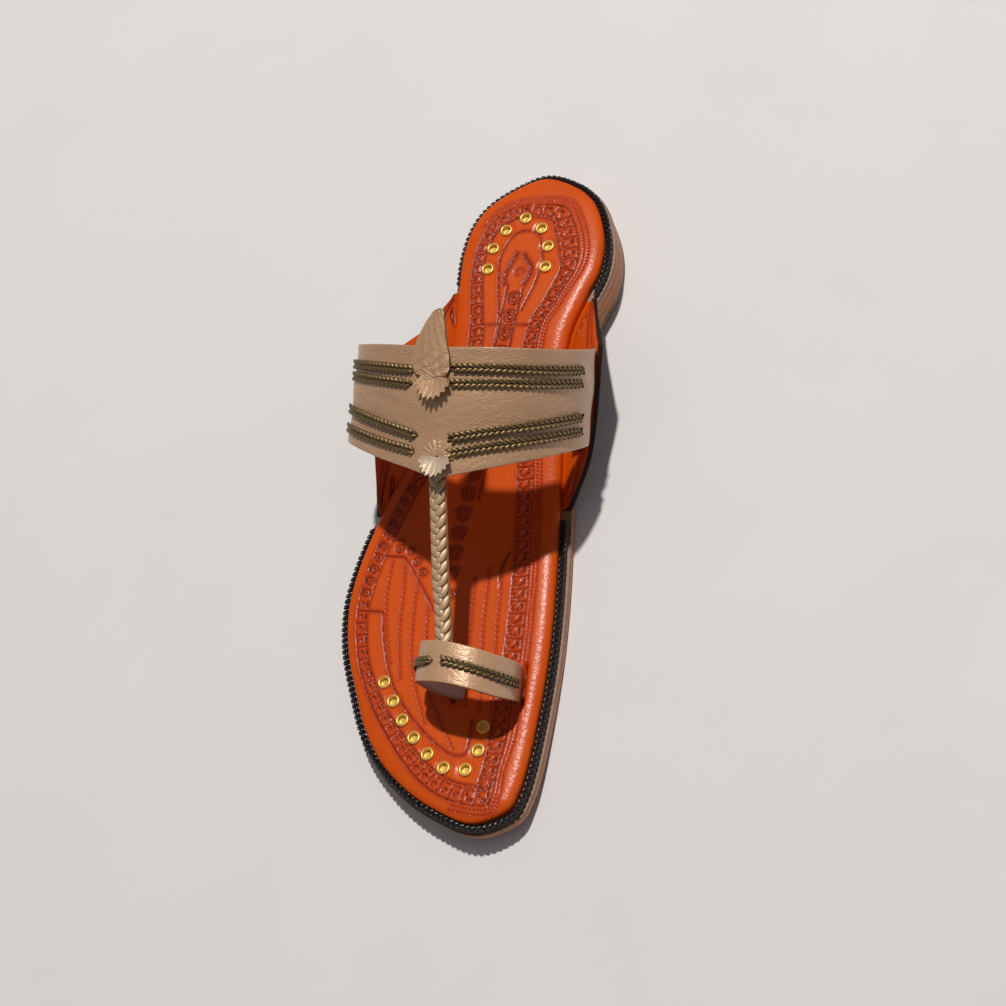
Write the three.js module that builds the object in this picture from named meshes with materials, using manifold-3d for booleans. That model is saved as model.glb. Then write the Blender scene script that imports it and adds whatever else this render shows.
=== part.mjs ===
// Kolhapuri sandal, right foot: layered leather sole, padded footbed, two ears, and an upper of
// instep band, centre strap and toe ring in one piece.
// Millimetres, +Z up, the floor at z = 0. The toe points along -Y and the big toe lies on the +X side.
import * as THREE from 'three';
import { mergeVertices } from 'three/addons/utils/BufferGeometryUtils.js';
import Module from 'manifold-3d';

const wasm = await Module();
wasm.setup();

// ---------------------------------------------------------------- driving dimensions
const GAP = 0.3;                  // clearance between pieces that touch
const FOREFOOT_HEIGHT = 9.6;      // footbed edge above the floor under the ball of the foot
const HEEL_HEIGHT = 21.5;         // the same under the heel
const RISE_START_Y = -21;         // the waist rises from here ...
const RISE_LENGTH = 93;           // ... over this length
const TOE_SPRING = 5.1;           // lift of the toe tip
const TOE_SPRING_START_Y = -62;
const TOE_SPRING_LENGTH = 78;
const FOOTBED_THICKNESS = 4.9;
const MIDSOLE_THICKNESS = 1.7;
const OUTSOLE_THICKNESS = 2.4;
const OUTSOLE_BEVEL = 0.3;        // its lower edge is cut back by this
const SOLE_MARGIN = 3.45;         // sole edge outside the footbed edge
const HEEL_BREAST_Y = 66;         // front of the heel stack
const BREAST_STEP = 3;            // each lower lift starts this much further back
const LIFT_TAPER = 0.25;          // each lower lift is this much smaller all round
const LIFT_SLANT = 0.2;           // and its wall slants in by this towards the floor
const WELT_RADIUS = 1.55;         // braided cord that edges the footbed
const HEEL_WELT_END = { lateral: 86, medial: 79 };     // y where each run of the cord meets the ears
const TOE_WELT_END = { lateral: -13, medial: -12 };
const EAR_THICKNESS = 2.2;
const EAR_FOOT_OUT = 0.5;         // an ear rises this far outside the footbed edge ...
const EAR_BEND = { out: 1.4, up: -1.6 };               // ... and bends outwards about here
const BAND_LIFT = GAP + 0.1;      // band ends above the inner faces of the ears
const UPPER_THICKNESS = 2.2;      // taupe leather and its lining
const SLOT_CLEARANCE = 0.35;      // round the toe ring where it goes into the footbed
const CENTRE_STRAP_WIDTH = 6.6;
const CENTRE_STRAP_THICKNESS = 3.0;
const TRIM_THICKNESS = 1.3;       // leaf tongue and rosettes
const EYELET = { outer: 2.6, hole: 1.5, proud: 0.5, sides: 10 };
const CENTRE_X = 1.65;            // middle of the whole sandal, which becomes x = 0
const CENTRE_Y = 0.95;            // middle of the whole sandal, which becomes y = 0

// Footbed outline: one row for each section across the foot
const LAST_SECTIONS = [
  { y: 128, lateral: 4.0, medial: 29.5 },
  { y: 121, lateral: -5.8, medial: 37.6 },
  { y: 112, lateral: -11.2, medial: 42.2 },
  { y: 100, lateral: -13.7, medial: 44.8 },
  { y: 88, lateral: -13.8, medial: 44.0 },
  { y: 76, lateral: -13.3, medial: 39.4 },
  { y: 62, lateral: -12.6, medial: 34.8 },
  { y: 46, lateral: -14.0, medial: 32.8 },
  { y: 30, lateral: -18.5, medial: 33.0 },
  { y: 14, lateral: -26.0, medial: 33.8 },
  { y: -2, lateral: -35.0, medial: 34.3 },
  { y: -18, lateral: -40.9, medial: 35.0 },
  { y: -34, lateral: -44.8, medial: 35.9 },
  { y: -48, lateral: -46.1, medial: 36.4 },
  { y: -64, lateral: -43.9, medial: 36.5 },
  { y: -80, lateral: -38.3, medial: 35.9 },
  { y: -96, lateral: -31.3, medial: 34.8 },
  { y: -109, lateral: -22.3, medial: 33.6 },
  { y: -119, lateral: -10.8, medial: 31.8 },
  { y: -126, lateral: 1.5, medial: 28.3 },
];
const HEEL_BACK = { x: 17, y: 132.6 };
const TOE_TIP = { x: 16, y: -130.7 };

// Rim of each ear: how far it stands out from the footbed edge, and up from it
const MEDIAL_EAR = [
  { y: 77, out: 1.6, up: -2.2 },
  { y: 70, out: 6.6, up: 0.6 },
  { y: 62, out: 11.4, up: 4.2 },
  { y: 51, out: 16.6, up: 11.2 },
  { y: 45, out: 18.6, up: 14.8 },
  { y: 29, out: 16.6, up: 10.8 },
  { y: 12, out: 12.8, up: 5.8 },
  { y: 2, out: 8.4, up: 1.8 },
  { y: -9, out: 2.0, up: -2.0 },
];
const LATERAL_EAR = [
  { y: 84, out: 1.6, up: -2.2 },
  { y: 76, out: 5.4, up: 1.0 },
  { y: 65, out: 9.8, up: 4.8 },
  { y: 53, out: 16.4, up: 12.6 },
  { y: 48, out: 18.0, up: 14.2 },
  { y: 34, out: 18.8, up: 11.2 },
  { y: 17, out: 15.8, up: 7.4 },
  { y: 3, out: 8.8, up: 2.0 },
  { y: -10, out: 1.6, up: -2.2 },
];

// Instep band: stations over the arch, with the point on its heel edge and on its toe edge.
// Below the first and last rows the band lies on the inner faces of the ears.
const TAB_HEIGHTS = [0.62, 0.8, 0.98];                 // share of the ear's height
const BAND_TAB_Y = { lateral: { heel: 50, toe: 17.5 }, medial: { heel: 45.5, toe: 12.5 } };
const BAND_STATIONS = [
  { place: 'lateral wall', heel: [-37.0, 45.0, 47.0], toe: [-43.5, 12.0, 34.0] },
  { place: 'lateral shoulder', heel: [-35.0, 39.5, 59.0], toe: [-39.5, 5.5, 44.5] },
  { place: 'lateral instep', heel: [-20.0, 33.0, 69.5], toe: [-26.0, -3.0, 50.5] },
  { place: 'beside the leaf', heel: [-3.0, 28.5, 74.5], toe: [-10.5, -10.5, 55.3] },
  { place: 'crown', heel: [12.0, 26.0, 76.3], toe: [5.0, -16.5, 58.0] },
  { place: 'medial instep', heel: [28.0, 25.5, 75.0], toe: [20.5, -14.0, 57.3] },
  { place: 'medial slope', heel: [41.0, 27.5, 68.5], toe: [34.0, -9.2, 52.5] },
  { place: 'medial shoulder', heel: [49.5, 32.5, 57.5], toe: [44.5, -1.5, 42.0] },
  { place: 'medial wall', heel: [52.5, 40.0, 43.5], toe: [48.5, 7.0, 29.0] },
];

// Toe ring: outer face of the strap round the big toe, with its heel-side and toe-side edges
const RING_STATIONS = [
  { place: 'lateral end', x: 5.2, z: 7.4, back: -70.5, front: -84.0 },
  { place: 'lateral slot', x: 2.6, z: 10.0, back: -70.3, front: -84.2 },
  { place: 'curl', x: -3.4, z: 14.6, back: -69.3, front: -83.6 },
  { place: 'lateral wall', x: -7.1, z: 21.5, back: -68.0, front: -82.8 },
  { place: 'lateral shoulder', x: -6.0, z: 29.0, back: -68.3, front: -83.6 },
  { place: 'lateral crown', x: 0.0, z: 34.8, back: -69.8, front: -85.2 },
  { place: 'crown', x: 8.5, z: 37.2, back: -71.2, front: -86.6 },
  { place: 'medial crown', x: 18.0, z: 35.8, back: -73.0, front: -88.2 },
  { place: 'medial shoulder', x: 25.2, z: 30.0, back: -73.8, front: -88.9 },
  { place: 'medial wall', x: 28.6, z: 21.0, back: -73.0, front: -87.6 },
  { place: 'medial slot', x: 27.5, z: 10.2, back: -71.4, front: -85.0 },
  { place: 'medial end', x: 27.0, z: 5.8, back: -71.2, front: -84.8 },
];

// Centre strap from under the band to under the ring: middle of its top face
const CENTRE_STRAP_PATH = [
  { x: 3.2, y: -11.0, z: 58.6 },
  { x: 3.2, y: -30.0, z: 50.0 },
  { x: 4.0, y: -50.0, z: 43.0 },
  { x: 5.4, y: -66.0, z: 38.0 },
  { x: 6.2, y: -77.0, z: 36.2 },
];

// Eyelets: two rows of brass rings, each spaced evenly along a smooth curve
const TOE_EYELETS = { count: 9, curve: [[-27, -77.5], [-13, -97.5], [4, -111], [12.5, -109.5], [15, -94.5]] };
const HEEL_EYELETS = { count: 7, curve: [[-3, 92], [-0.5, 105], [10.5, 114.5], [20.5, 105], [21.5, 91]] };

// ---------------------------------------------------------------- materials
const leather = (color, roughness) => new THREE.MeshStandardMaterial({ color, roughness, metalness: 0 });
const ORANGE_LEATHER = leather(0xc04a12, 0.35);
const TAUPE_LEATHER = leather(0xa58a6e, 0.5);
const SOLE_LEATHER = leather(0xb07c5a, 0.6);
const MIDSOLE_LEATHER = leather(0x9a7f72, 0.65);
const HEEL_RUBBER = leather(0x6e5a44, 0.7);
const BLACK_CORD = leather(0x17181a, 0.35);
const BRASS = new THREE.MeshStandardMaterial({ color: 0xd8b25a, roughness: 0.3, metalness: 1 });

// ---------------------------------------------------------------- form of the last
const smoothstep = (t) => {
  const c = THREE.MathUtils.clamp(t, 0, 1);
  return c * c * (3 - 2 * c);
};

// Height of the footbed edge above the floor
function footHeight(y) {
  const rise = (HEEL_HEIGHT - FOREFOOT_HEIGHT) * smoothstep((y - RISE_START_Y) / RISE_LENGTH);
  const spring = THREE.MathUtils.clamp((TOE_SPRING_START_Y - y) / TOE_SPRING_LENGTH, 0, 1);
  return FOREFOOT_HEIGHT + rise + TOE_SPRING * spring * spring;
}

const flat = (x, y) => new THREE.Vector3(x, y, 0);
const OUTLINE = new THREE.CatmullRomCurve3([
  flat(HEEL_BACK.x, HEEL_BACK.y),
  ...LAST_SECTIONS.map((row) => flat(row.lateral, row.y)),
  flat(TOE_TIP.x, TOE_TIP.y),
  ...LAST_SECTIONS.map((row) => flat(row.medial, row.y)).reverse(),
], true, 'catmullrom', 0.5);

// Place on the outline, on the side asked for, at a distance y along the foot, moved out by offset
function edgePoint(side, y, offset = 0) {
  let [near, far] = side === 'lateral' ? [0, 0.5] : [1, 0.5];
  for (let i = 0; i < 40; i += 1) {
    const middle = (near + far) / 2;
    if (OUTLINE.getPoint(middle).y > y) near = middle;
    else far = middle;
  }
  const t = (near + far) / 2;
  const point = OUTLINE.getPoint(t);
  const step = 1e-4;
  const ahead = OUTLINE.getPoint((t + step) % 1);
  const behind = OUTLINE.getPoint((t - step + 1) % 1);
  const outward = new THREE.Vector3(ahead.y - behind.y, behind.x - ahead.x, 0).normalize();
  return point.addScaledVector(outward, offset);
}

// Distances along the foot, closer together towards the rounded end at from, or towards both ends
function spacedY(from, to, steps, bothRound = false) {
  return Array.from({ length: steps + 1 }, (_, k) => {
    const t = k / steps;
    const eased = bothRound ? (1 - Math.cos(Math.PI * t)) / 2 : 1 - Math.cos((Math.PI / 2) * t);
    return from + (to - from) * eased;
  });
}

// ---------------------------------------------------------------- closed meshes
// Six times the volume that the triangles enclose, negative where they face inwards
function signedVolume(vertices, triangles) {
  return triangles.reduce((sum, [a, b, c]) => (
    sum + vertices[a].dot(new THREE.Vector3().crossVectors(vertices[b], vertices[c]))), 0);
}

function closedGeometry(vertices, triangles) {
  if (signedVolume(vertices, triangles) < 0) triangles.forEach((triangle) => triangle.reverse());
  const loose = new THREE.BufferGeometry();
  loose.setAttribute('position', new THREE.Float32BufferAttribute(vertices.flatMap((v) => [v.x, v.y, v.z]), 3));
  loose.setIndex(triangles.flat());
  const welded = mergeVertices(loose, 1e-4);
  const index = welded.getIndex().array;
  const kept = [];
  for (let i = 0; i < index.length; i += 3) {
    const [a, b, c] = [index[i], index[i + 1], index[i + 2]];
    if (a !== b && b !== c && c !== a) kept.push(a, b, c);
  }
  welded.setIndex(kept);
  return welded;
}

// A solid between rings of points with equal counts. A ring runs down the lateral side and back up
// the medial side, so that each end is closed by a ladder of rungs from side to side.
function ringSolid(rings) {
  const count = rings[0].length;
  const vertices = rings.flat();
  const triangles = [];
  for (let r = 0; r + 1 < rings.length; r += 1) {
    for (let k = 0; k < count; k += 1) {
      const next = (k + 1) % count;
      const [a, b, c, d] = [r * count + k, r * count + next, (r + 1) * count + next, (r + 1) * count + k];
      triangles.push([a, b, c], [a, c, d]);
    }
  }
  const half = count / 2;
  const last = (rings.length - 1) * count;
  for (let k = 0; k + 1 < half; k += 1) {
    const [a, b, c, d] = [k, k + 1, count - 2 - k, count - 1 - k];
    triangles.push([last + a, last + b, last + c], [last + a, last + c, last + d]);
    triangles.push([a, c, b], [a, d, c]);
  }
  return closedGeometry(vertices, triangles);
}

// A solid between an outer and an inner grid of points of the same size
function shellSolid(outer, inner) {
  const rows = outer.length;
  const columns = outer[0].length;
  const vertices = [...outer.flat(), ...inner.flat()];
  const skin = rows * columns;
  const at = (i, j, layer) => layer * skin + i * columns + j;
  const triangles = [];
  const quad = (a, b, c, d) => triangles.push([a, b, c], [a, c, d]);
  for (let i = 0; i + 1 < rows; i += 1) {
    for (let j = 0; j + 1 < columns; j += 1) {
      quad(at(i, j, 0), at(i + 1, j, 0), at(i + 1, j + 1, 0), at(i, j + 1, 0));
      quad(at(i, j, 1), at(i, j + 1, 1), at(i + 1, j + 1, 1), at(i + 1, j, 1));
    }
    quad(at(i, 0, 0), at(i, 0, 1), at(i + 1, 0, 1), at(i + 1, 0, 0));
    quad(at(i, columns - 1, 0), at(i + 1, columns - 1, 0), at(i + 1, columns - 1, 1), at(i, columns - 1, 1));
  }
  for (let j = 0; j + 1 < columns; j += 1) {
    quad(at(0, j, 0), at(0, j + 1, 0), at(0, j + 1, 1), at(0, j, 1));
    quad(at(rows - 1, j, 0), at(rows - 1, j, 1), at(rows - 1, j + 1, 1), at(rows - 1, j + 1, 0));
  }
  return closedGeometry(vertices, triangles);
}

// The grid moved along its own normals
function offsetGrid(grid, distance) {
  const clampIndex = (i, size) => THREE.MathUtils.clamp(i, 0, size - 1);
  return grid.map((row, i) => row.map((point, j) => {
    const along = grid[clampIndex(i + 1, grid.length)][j].clone()
      .sub(grid[clampIndex(i - 1, grid.length)][j]);
    const across = row[clampIndex(j + 1, row.length)].clone().sub(row[clampIndex(j - 1, row.length)]);
    return point.clone().addScaledVector(along.cross(across).normalize(), distance);
  }));
}

const solidOf = (geometry) => {
  const plain = geometry.clone();
  plain.deleteAttribute('normal');
  plain.deleteAttribute('uv');
  const merged = mergeVertices(plain, 1e-4);
  return new wasm.Manifold(new wasm.Mesh({
    numProp: 3,
    vertProperties: new Float32Array(merged.getAttribute('position').array),
    triVerts: new Uint32Array(merged.getIndex().array),
  }));
};

const geometryOf = (solid) => {
  const mesh = solid.getMesh();
  const geometry = new THREE.BufferGeometry();
  geometry.setAttribute('position', new THREE.BufferAttribute(mesh.vertProperties, 3));
  geometry.setIndex(new THREE.BufferAttribute(mesh.triVerts, 1));
  return geometry;
};

// ---------------------------------------------------------------- sole and footbed
// A layer that follows the foot: each ring is an offset from the outline and a height
function layer(ringRows, fromY = HEEL_BACK.y, toY = TOE_TIP.y, steps = 34) {
  const wholeFoot = toY === TOE_TIP.y;
  const stations = spacedY(fromY, toY, steps, wholeFoot);
  return ringSolid(ringRows.map(({ offset, height }) => {
    const lateral = stations.map((y) => edgePoint('lateral', y, offset));
    const medial = stations.map((y) => edgePoint('medial', y, offset)).reverse();
    if (wholeFoot) lateral[steps].copy(medial[0]);
    medial[steps].copy(lateral[0]);
    return [...lateral, ...medial].map((p) => new THREE.Vector3(p.x, p.y, height(p.y)));
  }));
}

const belowFoot = (drop) => (y) => footHeight(y) - drop;
const MIDSOLE_TOP = FOOTBED_THICKNESS + GAP;
const MIDSOLE_BOTTOM = MIDSOLE_TOP + MIDSOLE_THICKNESS;
const OUTSOLE_TOP = MIDSOLE_BOTTOM + GAP;
const OUTSOLE_BOTTOM = OUTSOLE_TOP + OUTSOLE_THICKNESS;

// The padded footbed's rounded edge: offset from the outline, and drop below the top
const FOOTBED_EDGE = [[-0.7, FOOTBED_THICKNESS], [0, 3.7], [0, 1.9], [-0.9, 0.6], [-2.6, 0]];
const footbedBlank = () => layer(FOOTBED_EDGE.map(([offset, drop]) => ({ offset, height: belowFoot(drop) })));

const midsole = () => layer([
  { offset: SOLE_MARGIN, height: belowFoot(MIDSOLE_BOTTOM) },
  { offset: SOLE_MARGIN, height: belowFoot(MIDSOLE_TOP) },
]);

const outsole = () => layer([
  { offset: SOLE_MARGIN - OUTSOLE_BEVEL, height: belowFoot(OUTSOLE_BOTTOM) },
  { offset: SOLE_MARGIN, height: belowFoot(OUTSOLE_TOP) },
]);

// Heel lifts, from the top one down. The top one takes up the curve of the outsole.
const LIFTS = [
  { name: 'heel_lift_upper', bottom: 7.3, material: SOLE_LEATHER },
  { name: 'heel_lift_lower', bottom: 2.8, material: SOLE_LEATHER },
  { name: 'heel_top_piece', bottom: 0, material: HEEL_RUBBER },
];

function heelLift(index) {
  const breast = HEEL_BREAST_Y + BREAST_STEP * index;
  const margin = SOLE_MARGIN - LIFT_TAPER * (index + 1);
  const top = index === 0 ? belowFoot(OUTSOLE_BOTTOM + GAP) : () => LIFTS[index - 1].bottom - GAP;
  return layer([
    { offset: margin - LIFT_SLANT, height: () => LIFTS[index].bottom },
    { offset: margin, height: top },
  ], HEEL_BACK.y, breast, 16);
}

// ---------------------------------------------------------------- ears
const earRim = (rows) => new THREE.CatmullRomCurve3(
  rows.map((row) => new THREE.Vector3(row.out, row.y, row.up)), false, 'catmullrom', 0.5);
const RIMS = { medial: earRim(MEDIAL_EAR), lateral: earRim(LATERAL_EAR) };
const sign = (side) => (side === 'medial' ? 1 : -1);

function rimAt(side, y) {
  let [near, far] = [0, 1];
  for (let i = 0; i < 40; i += 1) {
    const middle = (near + far) / 2;
    if (RIMS[side].getPoint(middle).y > y) near = middle;
    else far = middle;
  }
  return RIMS[side].getPoint((near + far) / 2);
}

// Cross-section of an ear at y: its inner face, from the sole (t = 0) to the rim (t = 1), raised
// off the face by lift, which is negative on the outer face
function earFace(side, y, t, lift = 0) {
  const rim = rimAt(side, y);
  const profile = new THREE.QuadraticBezierCurve(
    new THREE.Vector2(EAR_FOOT_OUT, -FOOTBED_THICKNESS),
    new THREE.Vector2(EAR_BEND.out, Math.min(EAR_BEND.up, (rim.z - FOOTBED_THICKNESS) / 2)),
    new THREE.Vector2(rim.x, rim.z),
  );
  const point = profile.getPoint(t);
  const along = profile.getTangent(t);
  const out = point.x - along.y * lift;
  const up = point.y + along.x * lift;
  return new THREE.Vector3(edgePoint(side, y).x + sign(side) * out, y, footHeight(y) + up);
}

function ear(side) {
  const steps = 26;
  const blunt = 0.015;            // share of the rim cut off each pointed end
  const ys = Array.from({ length: steps + 1 }, (_, k) => (
    RIMS[side].getPoint(THREE.MathUtils.lerp(blunt, 1 - blunt, k / steps)).y));
  const heights = [0, 0.2, 0.4, 0.6, 0.8, 1];
  const grid = (lift) => ys.map((y) => heights.map((t) => earFace(side, y, t, lift)));
  const [inner, outer] = [grid(0), grid(-EAR_THICKNESS)];
  inner.concat(outer).forEach((row) => {
    const floor = footHeight(row[0].y) - FOOTBED_THICKNESS;
    row.forEach((p) => { p.z = Math.max(p.z, floor); });
  });
  return shellSolid(inner, outer);
}

// ---------------------------------------------------------------- upper
// Row of the band at a share w of its width, from the heel edge (0) to the toe edge (1)
function bandRow(w) {
  const tab = (side, height) => {
    const y = THREE.MathUtils.lerp(BAND_TAB_Y[side].heel, BAND_TAB_Y[side].toe, w);
    return earFace(side, y, height, BAND_LIFT);
  };
  const over = BAND_STATIONS.map(({ heel, toe }) => new THREE.Vector3(...heel).lerp(new THREE.Vector3(...toe), w));
  return new THREE.CatmullRomCurve3([
    ...TAB_HEIGHTS.map((height) => tab('lateral', height)),
    ...over,
    ...TAB_HEIGHTS.map((height) => tab('medial', height)).reverse(),
  ], false, 'centripetal');
}
const BAND_ROWS = BAND_STATIONS.length + 2 * TAB_HEIGHTS.length;
const CROWN_T = (TAB_HEIGHTS.length + BAND_STATIONS.findIndex((row) => row.place === 'crown')) / (BAND_ROWS - 1);

function band() {
  const across = 8;
  const along = (BAND_ROWS - 1) * 4;
  const outer = Array.from({ length: along + 1 }, () => []);
  for (let j = 0; j <= across; j += 1) {
    const row = bandRow(j / across);
    for (let i = 0; i <= along; i += 1) outer[i].push(row.getPoint(i / along));
  }
  return shellSolid(offsetGrid(outer, UPPER_THICKNESS), outer);
}

// The ring's outer face, swollen all round by extra so that it can also cut its own slots
function toeRing(extra = 0) {
  const curve = (key) => new THREE.CatmullRomCurve3(
    RING_STATIONS.map((row) => new THREE.Vector3(row.x, row[key], row.z)), false, 'centripetal');
  const [back, front] = [curve('back'), curve('front')];
  const steps = 44;
  const across = 2;
  const outer = Array.from({ length: steps + 1 }, (_, i) => {
    const [a, b] = [back.getPoint(i / steps), front.getPoint(i / steps)];
    const side = b.clone().sub(a).normalize().multiplyScalar(extra);
    a.sub(side);
    b.add(side);
    return Array.from({ length: across + 1 }, (__, j) => a.clone().lerp(b, j / across));
  });
  for (const [end, next] of [[0, 1], [steps, steps - 1]]) {
    outer[end].forEach((p, j) => p.addScaledVector(p.clone().sub(outer[next][j]).normalize(), extra));
  }
  return shellSolid(offsetGrid(outer, UPPER_THICKNESS + extra), offsetGrid(outer, -extra));
}

function centreStrap() {
  const path = new THREE.CatmullRomCurve3(
    CENTRE_STRAP_PATH.map((p) => new THREE.Vector3(p.x, p.y, p.z)), false, 'centripetal');
  const steps = 16;
  const half = CENTRE_STRAP_WIDTH / 2;
  const top = path.getPoints(steps).map((p) => [-half, 0, half].map((dx) => new THREE.Vector3(p.x + dx, p.y, p.z)));
  return shellSolid(offsetGrid(top, -CENTRE_STRAP_THICKNESS), top);
}

function upper() {
  const whole = solidOf(band()).add(solidOf(centreStrap())).add(solidOf(toeRing()));
  return geometryOf(whole);
}

function footbed() {
  return geometryOf(solidOf(footbedBlank()).subtract(solidOf(toeRing(SLOT_CLEARANCE))));
}

// ---------------------------------------------------------------- trim on the band
const BAND_BOW = 0.006;           // drop of the band beside its crown, for each square millimetre
const EDGE_SHARE = 0.12;          // part of the band's width that sets its slope at the heel edge

// A thin patch on the band: a row for each place w across the band, with its half width and its
// shift from the crown. Rows with w below 0 go on past the heel edge at the band's slope.
function patch(rows, lift) {
  const edge = bandRow(0).getPoint(CROWN_T);
  const slope = edge.sub(bandRow(EDGE_SHARE).getPoint(CROWN_T)).divideScalar(EDGE_SHARE);
  const outer = rows.map(({ w, half, shift }) => {
    const row = bandRow(THREE.MathUtils.clamp(w, 0, 1));
    const centre = row.getPoint(CROWN_T).addScaledVector(slope, Math.max(0, -w));
    const across = row.getTangent(CROWN_T);
    return [-1, -0.5, 0, 0.5, 1].map((k) => {
      const dx = shift + k * half;
      return centre.clone().addScaledVector(across, dx).add(new THREE.Vector3(0, 0, -dx * dx * BAND_BOW));
    });
  });
  const raised = offsetGrid(outer, lift);
  return shellSolid(raised, offsetGrid(outer, lift + TRIM_THICKNESS));
}

const LEAF = [
  { w: -0.27, half: 0.4, shift: -6.6 },
  { w: -0.2, half: 2.2, shift: -7.2 },
  { w: -0.1, half: 4.4, shift: -7.8 },
  { w: 0, half: 5.7, shift: -8.0 },
  { w: 0.1, half: 6.5, shift: -7.6 },
  { w: 0.2, half: 6.4, shift: -7.0 },
  { w: 0.28, half: 5.0, shift: -6.4 },
];
const ROSETTE_LOWER = [
  { w: 0.68, half: 3.0, shift: -1.2 },
  { w: 0.74, half: 5.4, shift: -1.2 },
  { w: 0.84, half: 6.4, shift: -1.0 },
  { w: 0.92, half: 5.6, shift: -1.0 },
  { w: 0.97, half: 3.6, shift: -1.0 },
];

// ---------------------------------------------------------------- welt and eyelets
// Braided cord in the channel between footbed and sole edge, from one ear round to the other
function welt(runs) {
  const centres = runs.map(({ side, y }) => {
    const p = edgePoint(side, y, WELT_RADIUS + GAP);
    return new THREE.Vector3(p.x, p.y, footHeight(p.y) - FOOTBED_THICKNESS + WELT_RADIUS);
  });
  const path = new THREE.CatmullRomCurve3(centres, false, 'centripetal');
  const sides = 8;
  const steps = centres.length - 1;
  const up = new THREE.Vector3(0, 0, 1);
  const rings = Array.from({ length: steps + 1 }, (_, i) => {
    const centre = path.getPoint(i / steps);
    const outward = path.getTangent(i / steps).cross(up).normalize();
    return Array.from({ length: sides }, (__, k) => {
      const angle = (2 * Math.PI * (k + 0.5)) / sides;
      return centre.clone()
        .addScaledVector(outward, WELT_RADIUS * Math.cos(angle))
        .addScaledVector(up, WELT_RADIUS * Math.sin(angle));
    });
  });
  return ringSolid(rings);
}

const stationsAlong = (side, ys) => ys.map((y) => ({ side, y }));
const heelRun = [
  ...stationsAlong('lateral', spacedY(HEEL_BACK.y, HEEL_WELT_END.lateral, 18)).reverse(),
  ...stationsAlong('medial', spacedY(HEEL_BACK.y, HEEL_WELT_END.medial, 18)).slice(1),
];
const toeRun = [
  ...stationsAlong('medial', spacedY(TOE_TIP.y, TOE_WELT_END.medial, 28)).reverse(),
  ...stationsAlong('lateral', spacedY(TOE_TIP.y, TOE_WELT_END.lateral, 28)).slice(1),
];

function eyelet() {
  const { outer, hole, proud, sides } = EYELET;
  const profile = [
    [hole, 0], [outer, 0], [outer - 0.3, proud * 0.7], [(outer + hole) / 2, proud], [hole, proud * 0.7], [hole, 0],
  ].map(([r, z]) => new THREE.Vector2(r, z));
  const turned = new THREE.LatheGeometry(profile, sides);
  turned.deleteAttribute('normal');
  turned.deleteAttribute('uv');
  const ring = mergeVertices(turned, 1e-4);
  ring.rotateX(Math.PI / 2);
  return ring;
}

// ---------------------------------------------------------------- the sandal
const sandal = new THREE.Group();
const pieces = new THREE.Group();
pieces.position.set(-CENTRE_X, -CENTRE_Y, 0);
sandal.add(pieces);

function addPiece(name, geometry, material) {
  const mesh = new THREE.Mesh(geometry, material);
  mesh.name = name;
  pieces.add(mesh);
  return mesh;
}

addPiece('outsole', outsole(), SOLE_LEATHER);
addPiece('midsole', midsole(), MIDSOLE_LEATHER);
LIFTS.forEach(({ name, material }, index) => addPiece(name, heelLift(index), material));
addPiece('footbed', footbed(), ORANGE_LEATHER);
addPiece('ear_medial', ear('medial'), ORANGE_LEATHER);
addPiece('ear_lateral', ear('lateral'), ORANGE_LEATHER);
addPiece('upper', upper(), TAUPE_LEATHER);
addPiece('leaf_tongue', patch(LEAF, GAP), TAUPE_LEATHER);
addPiece('rosette_lower', patch(ROSETTE_LOWER, GAP), TAUPE_LEATHER);
addPiece('welt_heel', welt(heelRun), BLACK_CORD);
addPiece('welt_forefoot', welt(toeRun), BLACK_CORD);

function addEyelets(label, { count, curve }) {
  const row = new THREE.CatmullRomCurve3(curve.map(([x, y]) => new THREE.Vector3(x, y, 0)), false, 'centripetal');
  const places = row.getSpacedPoints(count - 1).map(({ x, y }) => [x, y]);
  places.forEach(([x, y], index) => {
    const ring = addPiece(`eyelet_${label}_${index + 1}`, eyelet(), BRASS);
    const slope = Math.atan2(footHeight(y + 1) - footHeight(y - 1), 2);
    ring.position.set(x, y, footHeight(y) + GAP);
    ring.rotation.x = slope;
  });
}
addEyelets('toe', TOE_EYELETS);
addEyelets('heel', HEEL_EYELETS);

export default sandal;
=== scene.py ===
"""Kolhapuri sandal, right foot: a padded, tooled footbed of glazed orange leather on a stacked sole,
a braided black welt, two ears, a taupe instep band with plaits, leaf and rosettes, a plaited centre
strap and a toe ring.

The sandal keeps the shared frame: +Z up, floor at z = 0, toe along -Y, big toe on the +X side.
Sizes are written in millimetres, and to_metres() turns them into the frame's metres."""

import math
import bpy
import numpy as np
from mathutils import Matrix, Vector
from mathutils.kdtree import KDTree


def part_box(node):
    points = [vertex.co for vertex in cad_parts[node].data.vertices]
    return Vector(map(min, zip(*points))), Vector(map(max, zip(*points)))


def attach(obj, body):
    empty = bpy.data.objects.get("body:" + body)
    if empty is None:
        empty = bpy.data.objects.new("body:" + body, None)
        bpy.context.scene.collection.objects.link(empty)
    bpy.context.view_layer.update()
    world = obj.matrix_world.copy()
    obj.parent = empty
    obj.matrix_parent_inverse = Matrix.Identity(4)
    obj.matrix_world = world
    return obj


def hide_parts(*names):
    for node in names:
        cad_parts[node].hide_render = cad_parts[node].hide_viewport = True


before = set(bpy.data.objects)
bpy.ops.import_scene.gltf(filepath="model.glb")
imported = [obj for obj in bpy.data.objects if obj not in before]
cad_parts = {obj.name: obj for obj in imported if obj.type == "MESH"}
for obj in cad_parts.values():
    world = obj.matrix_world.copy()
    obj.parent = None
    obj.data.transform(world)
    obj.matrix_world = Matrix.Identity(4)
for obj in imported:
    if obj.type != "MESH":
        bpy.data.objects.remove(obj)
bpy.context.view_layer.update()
MM = 0.001

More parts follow.
